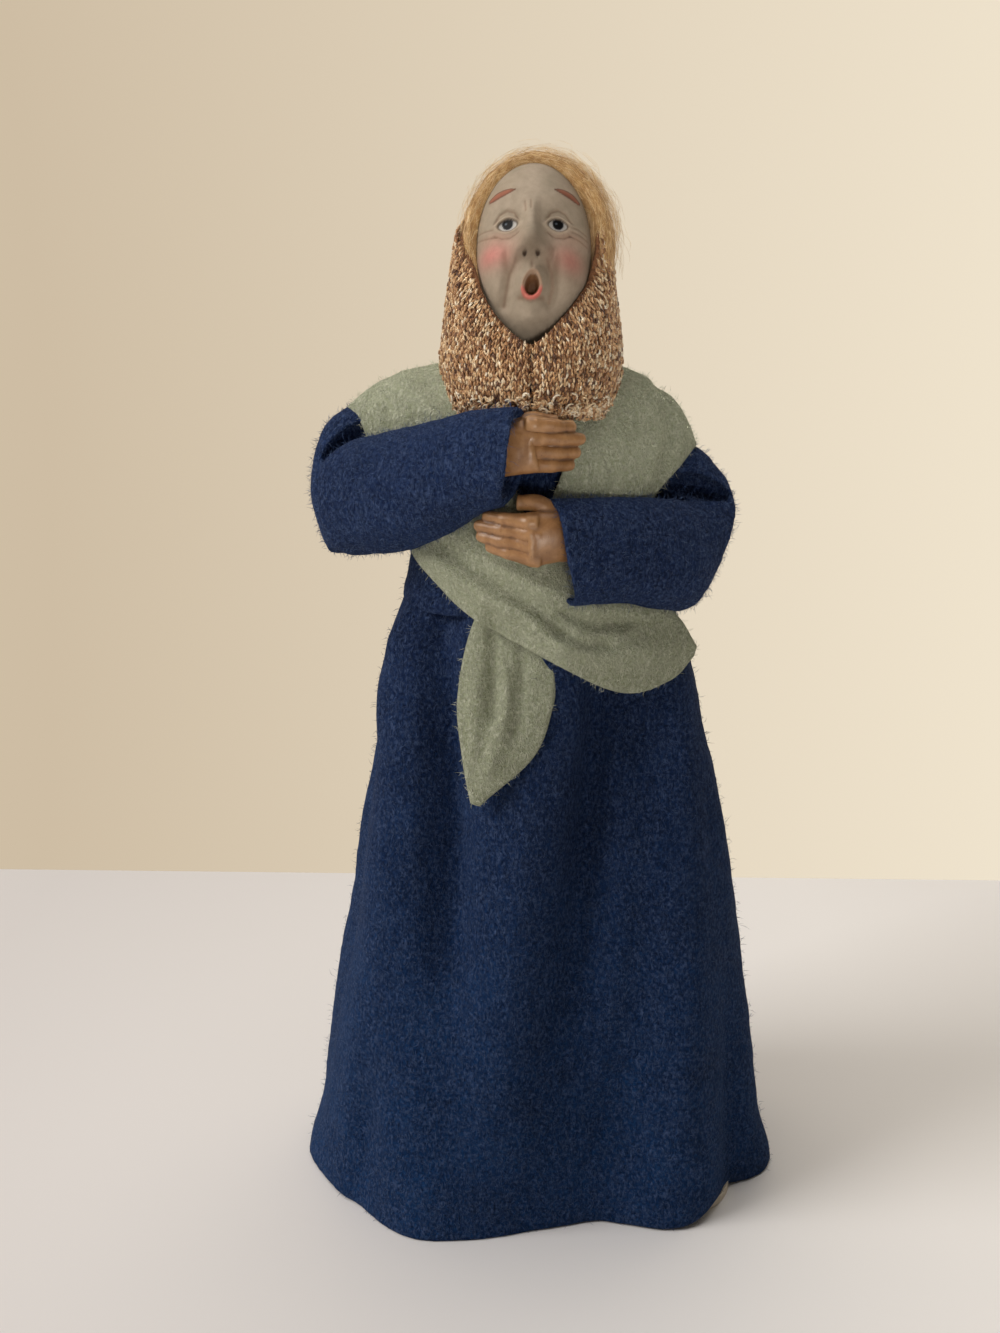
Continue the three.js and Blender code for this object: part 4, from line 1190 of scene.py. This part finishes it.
def face_paint(x, z):
    """Painted colours of the head, and how glossy each place is."""
    flat = np.stack([x.ravel(), z.ravel()], axis=-1)
    clay = np.array(linear(172, 157, 139)[:3])
    color = np.broadcast_to(clay, x.shape + (3,)).copy()
    gloss = np.zeros(x.shape)
    cloud = Cloud(FACE_SEED)
    place = np.stack([x, z, 0 * x], axis=-1)

    def lay(rgb, mask):
        """Paint over what is there with a colour, as far as the mask goes from 0 to 1."""
        nonlocal color
        mask = np.clip(mask, 0, 1)[..., None]
        color = color * (1 - mask) + np.array(linear(*rgb)[:3]) * mask

    lay((152, 140, 122), 0.35 + 0.5 * cloud(place, 5) + 0.3 * cloud(place + 7, 1.6))
    for rgb, strength, cx, cz, wide, tall in BLUSH:
        lay(rgb, strength * hump(x - cx, wide) * hump(z - cz, tall))
    lay((178, 130, 112), 0.3 * hump(z - 0.2, 2.0) * hump(np.abs(x) - 11, 5))
    # Brown along every groove: the doll's painted wrinkle and crease lines, and painted shade in
    # the deep folds beside the nose and mouth and under the lower lip
    for path, deep, wide in GROOVES:
        distance, _ = to_paths(flat, path)
        lay((122, 92, 72), 0.5 * hump(distance, 0.7 * min(wide, 0.8)).reshape(x.shape))
    for centre in EYES:
        cx, cz = centre
        ring = eye_ring(x, z, centre)
        # A paler band along the lid rolls round each eye: painted highlight on the ridges
        lay((188, 172, 152), 0.5 * hump(ring - 1.42, 0.25))
        lay((56, 40, 32), 0.9 * hump(ring - 1.04, 0.13) * (0.45 + 0.55 * ramp(z - cz, -1, 0.8)))
        inside = 1 - ramp(ring, 0.92, 1.03)
        lay((186, 184, 180), inside)
        # The upper part of each eye darker: painted shade of the upper lid on the eyeball
        lay((104, 98, 94), inside * ramp(z - cz, 0.3, 1.4))
        eye = np.sqrt((x - cx) ** 2 + (z - cz - 0.35) ** 2)
        lay((44, 46, 54), inside * (1 - ramp(eye, IRIS, IRIS + 0.18)))
        lay((10, 9, 11), inside * (1 - ramp(eye, PUPIL, PUPIL + 0.2)))
        # A small pale blue spot up and to the left in each eye: a painted reflection of light
        painted_catchlight_distance = np.sqrt((x - cx + 0.5) ** 2 + (z - cz - 0.5) ** 2)
        lay((120, 132, 146), inside * 0.7 * (1 - ramp(painted_catchlight_distance, 0.12, 0.42)))
        gloss = np.maximum(gloss, 0.35 * inside)
    for brow in BROWS:
        distance, along = to_paths(flat, brow)
        distance, along = distance.reshape(x.shape), along.reshape(x.shape)
        size = profile([(0, 0.7), (0.25, 1.08), (0.6, 1.0), (0.85, 0.62), (1, 0.25)])(along)
        tip = ramp(along, 0.72, 1)
        lay((100, 62, 46), 0.95 * (1 - ramp(distance, size * 0.9, size * 1.25)))
        lay((156, 98, 78), 0.9 * (1 - tip) * (1 - ramp(distance, size * 0.4, size * 0.95)))
    ring = mouth_ring(x, z)
    low = ramp(MOUTH[1] - z, 0.0, 1.5)
    lay((158, 122, 96), 0.7 * (1 - low) * hump(ring - 1.15, 0.2))
    lay((206, 108, 98), 0.92 * low * (1 - ramp(ring, 1.32, 1.46)))
    # A paler coral spot on the left of the lower lip: a painted highlight
    lay((222, 140, 126), 0.7 * hump(ring - 1.2, 0.12) * hump(x - MOUTH[0] + 1.6, 1.0) * low)
    gloss = np.maximum(gloss, 0.5 * low * hump(ring - 1.2, 0.2))
    lay((124, 88, 60), 1 - ramp(ring, 0.88, 1.0))
    # Paler streaks towards the right inside the open mouth: painted light on its inner wall
    painted_lit_streak = 0.5 + 0.5 * cloud(np.stack([x * 2.2, z * 0.5, 0 * x], axis=-1), 1.0)
    lay((176, 134, 98), 0.8 * painted_lit_streak * (1 - ramp(ring, 0.8, 0.95)) * ramp(x - MOUTH[0], -1.0, 1.4))
    # The middle of the open mouth darker: painted shade in its depth
    lay((84, 56, 38), 0.7 * (1 - ramp(ring, 0.3, 0.8)))
    nostrils = []
    for out in (-NOSTRIL_OUT, NOSTRIL_OUT):
        hole = np.sqrt(((x - FACE_MIDDLE - out) / 0.72) ** 2 + ((z - NOSTRIL_UP) / 0.62) ** 2)
        nostrils.append(0.9 * (1 - ramp(hole, 0.5, 1.15)))
    # Grey-brown over the underside of the nose and the right side of its bridge: painted shade
    painted_nose_shade = hump(x - FACE_MIDDLE - 0.3, 4.4) * hump(z + 5.2, 3.6)
    lay((122, 108, 92), 0.75 * painted_nose_shade + 0.3 * hump(x - FACE_MIDDLE - 1.5, 2.4) * hump(z - 0.5, 4))
    lay((58, 42, 34), np.maximum(*nostrils))
    return color, gloss


def make_head():
    """The head is an egg of rings, closest together in the face, with the relief on it."""
    around, levels = 196, 196
    spread = np.linspace(-1, 1, levels)
    height = (np.pi / 2) * 0.985 * (0.62 * spread + 0.38 * spread ** 3)
    turn = 2 * np.arange(around) / around - 1
    round_ = np.pi * (0.4 * turn + 0.6 * turn ** 3)
    round_, height = np.meshgrid(round_, height)
    facing = np.cos(round_)
    deep = np.where(facing > 0, HEAD_FRONT, HEAD_BACK)
    level = np.sin(height)
    fullness = np.where(level < 0, JAW_FULLNESS, 1)
    wide = np.cos(height) ** fullness * (1 - HEAD_NARROWING * ramp(-level, 0.35, 1))
    x = HEAD_SIDE * np.sin(round_) * wide
    z = np.where(level < 0, HEAD_DOWN, HEAD_UP) * level
    shown = np.where(facing > 0, ramp(facing, 0.1, 0.5), 0)
    relief = face_relief(x, z) * shown
    y = -deep * facing * wide - relief
    points, faces = closed_tube(head_place(np.stack([x, y, z], axis=-1)))
    color, gloss = face_paint(x, z)
    plain = np.array(linear(160, 145, 125)[:3])
    color = color * shown[..., None] + plain * (1 - shown[..., None])
    n = new_material("painted_clay")
    paint = n.attribute("paint", "Color")
    speckle = n.ramp(n.noise(700, 4, 0.65), [(0.3, (0.86, 0.86, 0.86, 1)), (0.6, (1, 1, 1, 1))])
    glossy = n.attribute("gloss")
    grain = n.weigh(n.noise(650, 4, 0.6), 1.0, n.noise(2200, 2, 0.5), 0.4)
    clay = n.finish(Base_Color=n.blend(0.8, paint, speckle, "MULTIPLY"), Specular_IOR_Level=0.2,
                    Roughness=n.range(glossy, 0, 1, 0.66, 0.4),
                    Normal=n.bump(grain, 0.00025, 0.35))
    head = make_piece("clay_head", points, faces, clay, "face_clay", ["head"])
    mesh = head.data
    rgba = np.ones((len(mesh.vertices), 4))
    rgba[:, :3] = plain
    rgba[:color.size // 3, :3] = color.reshape(-1, 3)
    mesh.attributes.new("paint", "FLOAT_COLOR", "POINT")
    mesh.attributes["paint"].data.foreach_set("color", rgba.ravel())
    shine = np.zeros(len(mesh.vertices))
    shine[:gloss.size] = (gloss * shown).ravel()
    set_value(head, "gloss", shine)
    neck = oval_tube([(-3.8, -2.8, 264, 7.5, 7.5), (-3.8, -5, 286, 8.5, 8.5)], 12, 48)
    make_piece("clay_neck", *closed_tube(neck), clay, "face_clay")


# The hair

HAIR_SIDE, HAIR_UP, HAIR_ROLL, HAIR_FORWARD, HAIR_SHIFT = 19.4, 25.2, 3.3, -3.4, 1.0
# The cap of hair behind the roll: half its width, depth and height, then shift back and up
CAP_SIDE, CAP_DEEP, CAP_UP, CAP_BACK, CAP_RISE = 21, 20.5, 27.9, 3.2, 0.4


def hair_ring(angle, out, back):
    """A place round the face: angle from the top, distance out from the roll's middle line
    and distance back from it, in the model's axes."""
    sine, cosine = np.sin(angle), np.cos(angle)
    way = unit(np.stack([sine / HAIR_SIDE, 0 * sine, cosine / HAIR_UP], axis=-1))
    across, up = HAIR_SHIFT + HAIR_SIDE * sine, 0.6 + HAIR_UP * cosine
    line = np.stack([across, HAIR_FORWARD + 0 * sine, up], axis=-1)
    thick = 1 + 0.14 * sine
    local = line + way * (out * thick)[..., None]
    local[..., 1] += back
    return head_place(local)


def roll_place(angle, radius, turn):
    """A place on the roll of hair round the face, a little deeper than it is high."""
    return hair_ring(angle, 0.86 * radius * np.cos(turn), 1.15 * radius * np.sin(turn))


def hair_material():
    n = new_material("wool_hair")
    tone = n.weigh(n.noise(420, 3, 0.6, 0.5), 0.5, n.attribute("tone"), 0.5)
    color = n.ramp(tone, [(0.22, linear(150, 110, 64)), (0.42, linear(186, 146, 92)),
                          (0.6, linear(218, 188, 138)), (0.8, linear(236, 216, 178))])
    return n.finish(Base_Color=color, Roughness=0.6, Specular_IOR_Level=0.3, Sheen_Weight=0.3)


def make_hair():
    """The mass of the wig, then strands on the roll and the crown, and loose curls."""
    material = hair_material()
    angle = np.linspace(-2.05, 2.05, 90)
    section = 2 * np.pi * np.arange(28) / 28
    a, s = np.meshgrid(angle, section, indexing="ij")
    form = loose_mesh("hair_form", *closed_tube(roll_place(a, HAIR_ROLL, s)))
    tiny = 0.02
    u, v = np.meshgrid(np.linspace(tiny, np.pi - tiny, 40), 2 * np.pi * np.arange(48) / 48,
                       indexing="ij")
    back = np.stack([HAIR_SHIFT + CAP_SIDE * np.sin(u) * np.cos(v), CAP_BACK + CAP_DEEP * np.cos(u),
                     CAP_RISE + CAP_UP * np.sin(u) * np.sin(v)], axis=-1)
    cap = loose_tube(head_place(back))
    with editing(cap) as bm:
        front = head_place(np.array([0, HAIR_FORWARD + 0.5, 0])) * MM
        normal = head_place(np.array([0, -1.0, 0])) - head_place(np.zeros(3))
        geometry = bm.verts[:] + bm.edges[:] + bm.faces[:]
        cut = bmesh.ops.bisect_plane(bm, geom=geometry, plane_co=front, plane_no=normal,
                                     clear_outer=True)
        edges = [g for g in cut["geom_cut"] if isinstance(g, bmesh.types.BMEdge)]
        bmesh.ops.contextual_create(bm, geom=edges)
    combine(form, cap, "UNION")
    remesh(form, HAIR_VOXEL)
    smooth_points(form, 4)
    finish_piece(form, material, ["hair"])
    set_value(form, "tone", np.full(len(form.data.vertices), 0.4))

    rng = np.random.default_rng(HAIR_SEED)
    # Strands that wind round the roll, a few of them standing off
    count = 3400
    start = rng.uniform(-2.0, 2.0, count)
    length = rng.uniform(0.1, 0.42, count) * rng.choice([-1, 1], count)
    around = rng.uniform(-2.5, 2.3, count)
    drift = rng.normal(0, 0.6, count)
    wave = rng.normal(size=(count, 3))
    lift = np.abs(rng.normal(0, 0.3, count))
    lift = lift + (rng.random(count) < 0.05) * rng.uniform(0.6, 2.2, count)

    def strand(t):
        turn = around + drift * t + 0.1 * wave[:, 1] * math.sin(5 * t)
        far = HAIR_ROLL * (0.96 + 0.05 * wave[:, 0] * math.sin(4 * t)) + lift * t ** 1.6
        return roll_place(start + length * t, far, turn)

    make_threads("hair_strands", trace(5, strand), ROLL_HAIR, 3, material, "hair",
                 0.55 + 0.25 * rng.normal(size=count))

    # Strands over the crown, from the roll backwards
    count = 1500
    start = rng.uniform(-1.5, 1.5, count)
    depth = rng.uniform(0, 18, count)
    slide = rng.uniform(2, 6, count)
    wave = rng.normal(size=(count, 3))

    def crown_strand(t):
        y = HAIR_FORWARD + depth + slide * t
        size = np.sqrt(np.clip(1 - ((y - CAP_BACK) / CAP_DEEP) ** 2, 0.05, 1))
        turn = start + 0.14 * wave[:, 0] * t
        stray = 0.5 * np.abs(wave[:, 2]) * t * (np.abs(wave[:, 2]) > 1.9)
        lift = 0.1 + 0.12 * np.abs(wave[:, 1]) + stray
        return head_place(np.stack([HAIR_SHIFT + (CAP_SIDE * size + lift) * np.sin(turn), y,
                                    CAP_RISE + (CAP_UP * size + lift) * np.cos(turn)], axis=-1))

    make_threads("hair_crown", trace(5, crown_strand), CROWN_HAIR, 3, material, "hair",
                 0.5 + 0.25 * rng.normal(size=count))

    # Loose curls that float off the roll
    count = 420
    start = np.where(rng.random(count) < 0.6, rng.uniform(-1.5, 1.6, count),
                     rng.normal(0.9, 0.35, count))
    reach = rng.uniform(0.1, 0.5, count) * rng.choice([-1, 1], count)
    wave = rng.normal(size=(count, 4))
    lift = np.abs(wave[:, 0]) * 1.1 + 0.4

    def loose_curl(t):
        far = HAIR_ROLL * 0.9 + lift * math.sin(math.pi * 0.62 * t)
        far = far + 0.35 * wave[:, 1] * math.sin(6 * t)
        back = 1.2 * wave[:, 2] + 1.5 * wave[:, 3] * t
        return hair_ring(start + reach * t + 0.05 * wave[:, 3] * math.sin(7 * t), far, back)

    make_threads("hair_loose_curls", trace(8, loose_curl), LOOSE_HAIR, 3, material, "hair",
                 0.7 + 0.2 * rng.normal(size=count))


# The hands

# Places of wrist, palm, knuckles, finger tips and thumb; gap between fingers and their lean
# across the palm, and how far the joints bend out
RIGHT_HAND = dict(
    wrist=(-17, -40.5, 243.5), palm=(-9, -44.2, 247.5), knuckles=(-3.6, -45, 249),
    fan=3.65, lean=-0.6, bend=-1.4,
    tips=[(8.4, -39.5, 253.4), (11.2, -38.8, 250), (9.9, -38.8, 246.3), (8.2, -39.4, 242.9)],
    thumb=[(-9, -42, 252.5), (-4, -40.8, 255.2), (2, -39.6, 254.6)])
LEFT_HAND = dict(
    wrist=(14, -37.5, 219), palm=(4.5, -44.5, 223.2), knuckles=(-4.5, -46.6, 222.8),
    fan=3.35, lean=0.3, bend=-1.2,
    tips=[(-17.6, -40.6, 228.6), (-20, -40.2, 226), (-19.4, -40.8, 223.1), (-16.6, -42, 220.4)],
    thumb=[(4.5, -42.5, 228.4), (-2, -42.8, 232.4), (-6.8, -42.6, 232.6)])
# Radius of a finger and of the thumb from root to tip
FINGER = [(0, 1.9), (0.2, 2.3), (0.36, 1.98), (0.55, 2.12), (0.68, 1.82), (0.82, 1.84), (1, 1.5)]
THUMB = [(0, 2.9), (0.35, 2.55), (0.6, 2.2), (0.8, 2.25), (1, 1.8)]


def digit(points, sizes, around=20, steps=26):
    """A finger along points, with its radius given along it and a round tip."""
    points = np.array(points, float)
    t = np.linspace(0, 1, steps)
    line = through_rows(points, t)
    length = np.linalg.norm(np.diff(line, axis=0), axis=1).sum()
    radius = profile(sizes)(t)
    end = sizes[-1][1] / length
    to_tip = np.clip((t - (1 - end)) / end, 0, 1)
    radius = radius * np.sqrt(np.clip(1 - to_tip ** 2, 0.02, 1))
    rows = np.concatenate([line, radius[:, None], radius[:, None]], axis=1)
    return closed_tube(oval_tube(rows, 1, around))


def hollowness(piece, rounds=6):
    """How hollow a piece is at each point: above 0 in its grooves."""
    points, normals, _ = mesh_arrays(piece)
    means = neighbour_means(piece)
    soft = points
    for _ in range(rounds):
        soft = means(soft)
    return np.sum((soft - points) * normals, axis=1)


def hand_material():
    n = new_material("varnished_clay")
    hollow = n.attribute("hollow")
    tone = n.noise(260, 4, 0.6, 0.4)
    color = n.ramp(tone, [(0.3, linear(132, 92, 54)), (0.5, linear(152, 109, 68)),
                          (0.7, linear(172, 128, 84))])
    # Dark brown in the hands' grooves: painted shade; paler on the raised knuckles and tendons:
    # painted highlight
    color = n.blend(n.range(hollow, -0.01, 0.2), color, linear(84, 52, 30))
    color = n.blend(n.range(hollow, -0.05, -0.3, 0.0, 0.45), color, linear(214, 172, 126))
    specks = n.range(n.noise(1500, 2, 0.5), 0.70, 0.74, 0.0, 0.7)
    color = n.blend(specks, color, linear(84, 52, 34))
    rough = n.range(n.noise(500, 3, 0.6), 0.3, 0.7, 0.34, 0.5)
    return n.finish(Base_Color=color, Roughness=rough, Specular_IOR_Level=0.5, Coat_Weight=0.25,
                    Coat_Roughness=0.25, Normal=n.bump(n.noise(900, 4, 0.6), 0.0003, 0.35))


def make_hand(name, shape, node, material):
    """A palm, four fingers and a thumb, joined, with tendons, knuckles and creases."""
    knuckles = np.array(shape["knuckles"], float)
    slab = [(*shape["wrist"], 5.2, 3.9), (*shape["palm"], 6.9, 3.8), (*knuckles, 7.4, 2.9)]
    parts = [closed_tube(oval_tube(slab, 12, 44))]
    roots = []
    for i, tip in enumerate(shape["tips"]):
        root = knuckles + np.array([shape["lean"] * (i - 1.5), 0, (1.5 - i) * shape["fan"]])
        tip = np.array(tip, float)
        bend = shape["bend"]
        # Share of the way from root to tip, and how far forward or back
        before, joint, second = (
            root + share * (tip - root) + np.array([0, out, 0])
            for share, out in ((-0.25, 0.6), (0.42, bend * 1.15), (0.74, bend * 0.55)))
        parts.append(digit([before, root, joint, second, tip], FINGER))
        roots.append((root, joint, tip))
    thumb = np.array(shape["thumb"], float)
    past = thumb[-1] + 0.25 * (thumb[-1] - thumb[-2])
    parts.append(digit([*thumb, past], THUMB))
    points = []
    faces = []
    for more, quads in parts:
        start = sum(len(p) for p in points)
        points.append(more)
        faces += [[int(v) + start for v in f] for f in quads]
    hand = loose_mesh(name, np.concatenate(points), faces)
    remesh(hand, HAND_VOXEL)
    smooth_points(hand, 3)
    points, normals, _ = mesh_arrays(hand)
    push = 0.06 * felt_cloud(points, 2.2)
    wrist = np.array(shape["wrist"], float)
    for root, joint, tip in roots:
        side = unit(tip - root)
        tendon, along = to_paths(points, [mix(root, wrist, 0.75), root])
        push += 0.28 * hump(tendon - 2.6, 1.6) * ramp(along, 0.1, 0.8)
        knuckle = np.linalg.norm(points - (root + np.array([0, -2.2, 0])), axis=1)
        push += 0.35 * hump(knuckle, 1.7)
        for far in (-0.45, 0.0, 0.45):
            across = (points - joint) @ side - far
            near = np.linalg.norm(points - joint, axis=1)
            push -= 0.1 * hump(across, 0.16) * hump(near, 2.4) * (normals[:, 1] < 0.1)
    set_points(hand, points + normals * push[:, None])
    finish_piece(hand, material, [node])
    set_value(hand, "hollow", hollowness(hand))


# All the pieces, in the order of their random draws

skirt = make_skirt()
bodice = make_bodice()
right_sleeve = make_sleeve("right_sleeve_felt", RIGHT_UPPER, RIGHT_FOREARM, RIGHT_CUFF,
                           RIGHT_CREASE, RIGHT_WRINKLES, "right_sleeve")
left_sleeve = make_sleeve("left_sleeve_felt", LEFT_UPPER, LEFT_FOREARM, LEFT_CUFF,
                          LEFT_CREASE, LEFT_WRINKLES, "left_sleeve")
shawl = make_shawl()
scarf_shell, scarf_stitches, scarf_curls = make_scarf()
make_head()
make_hair()
# Fibres: piece, how many, length in millimetres, material and slot
FIBRES = [
    ("skirt", skirt, 15000, 2.7, NAVY_FIBRE, "navy_felt"),
    ("bodice", bodice, 1600, 2.2, NAVY_FIBRE, "navy_felt"),
    ("right_sleeve", right_sleeve, 7500, 2.3, NAVY_FIBRE, "navy_felt"),
    ("left_sleeve", left_sleeve, 6500, 2.3, NAVY_FIBRE, "navy_felt"),
    ("shawl", shawl, 15000, 2.4, SAGE_FIBRE, "sage_felt"),
]
for number, (name, piece, *rest) in enumerate(FIBRES):
    make_fibres(name + "_fibres", piece, *rest, FIBRE_SEED + number)
HAND_CLAY = hand_material()
make_hand("right_hand_clay", RIGHT_HAND, "right_hand", HAND_CLAY)
make_hand("left_hand_clay", LEFT_HAND, "left_hand", HAND_CLAY)


# The floor, the lights and the camera

FLOOR_BACK = 0.232
WARM_WALL = [(0.16, (206, 189, 164), 1), (0.84, (240, 228, 206), 1)]
DIM_ROOM = [(0.1, (220, 208, 192), 0.4), (0.72, (210, 196, 178), 0.05)]
# Lights: place, what it points at, size, power, colour and spread
UPPER_BODY = (0, 0, 0.2)
FACE = (0, 0, 0.314)
LIGHTS = {
    "key": ((-1.75, -0.62, 1.45), UPPER_BODY, 1.1, 29, (1.0, 0.96, 0.91), math.pi),
    "top": ((-0.1, 0.0, 1.4), UPPER_BODY, 1.0, 6, (1.0, 0.97, 0.94), math.pi),
    "face": ((0.14, -0.78, 0.21), FACE, 0.2, 0.05, (1.0, 0.94, 0.87), 0.3),
}
# The camera, as fitted to the photo: metres, degrees and millimetres
CAMERA_PLACE = (-0.002, -0.421, 0.285)
CAMERA_DOWN, CAMERA_TURN = 14.8, 1.6
SENSOR, LENS = 36, 36.46


def stage_floor():
    mesh = bpy.data.meshes.new("floor")
    corners = [(-1.5, -1.3, 0), (1.5, -1.3, 0), (1.5, FLOOR_BACK, 0), (-1.5, FLOOR_BACK, 0)]
    mesh.from_pydata(corners, [], [(0, 1, 2, 3)])
    floor = add_object("floor", mesh)
    n = new_material("pale_floor")
    across = n.add("ShaderNodeSeparateXYZ", {0: n.place}).outputs["X"]
    # Paler towards the right, with a faint random tone: painted light that lifts the floor's shaded
    # right side
    tone = n.weigh(n.range(across, -0.25, 0.2), 1.0, n.noise(3, 2, 0.5), 0.1)
    color = n.ramp(tone, [(0.05, linear(222, 220, 222)), (0.9, linear(252, 251, 252))])
    mesh.materials.append(n.finish(Base_Color=color, Roughness=0.6))


def area_light(name, place, aim, size, power, color, spread):
    light = bpy.data.lights.new(name, "AREA")
    light.shape = "RECTANGLE"
    light.size = light.size_y = size
    light.energy = power
    light.spread = spread
    light.color = color
    lamp = add_object(name, light)
    lamp.location = place
    way = Vector(aim) - Vector(place)
    lamp.rotation_euler = way.to_track_quat("-Z", "Y").to_euler()


def set_world():
    """A warm wall behind the figure and a dim room on the camera's side."""
    n = Nodes(bpy.data.worlds.new("studio"), "Generated")
    way = n.add("ShaderNodeSeparateXYZ", {0: n.place}).outputs

    def gradient(turn, stops):
        stops = [(place, [c * strength for c in linear(*color)[:3]] + [1])
                 for place, color, strength in stops]
        return n.ramp(n.math("MULTIPLY_ADD", way["X"], turn, 0.5), stops)

    color = n.blend(n.range(way["Y"], 0.1, 0.6), gradient(0.5, DIM_ROOM), gradient(1.0, WARM_WALL))
    background = n.tree.nodes["Background"]
    n.set(background, "Color", color)
    n.set(background, "Strength", 1.0)
    bpy.context.scene.world = n.owner
    bpy.context.scene.view_settings.view_transform = "Standard"


def set_camera():
    data = bpy.data.cameras.new("camera")
    data.sensor_width = SENSOR
    data.lens = LENS
    data.clip_start = 0.01
    camera = add_object("camera", data)
    camera.location = CAMERA_PLACE
    turn = [math.radians(angle) for angle in (90 - CAMERA_DOWN, 0, CAMERA_TURN)]
    camera.rotation_euler = Euler(turn, "XYZ")
    bpy.context.scene.camera = camera


stage_floor()
set_world()
for name, settings in LIGHTS.items():
    area_light(name, *settings)
set_camera()
# The card base stays as modelled and only takes its material
bpy.data.objects["base_board"].data.materials.clear()
bpy.data.objects["base_board"].data.materials.append(CARD)
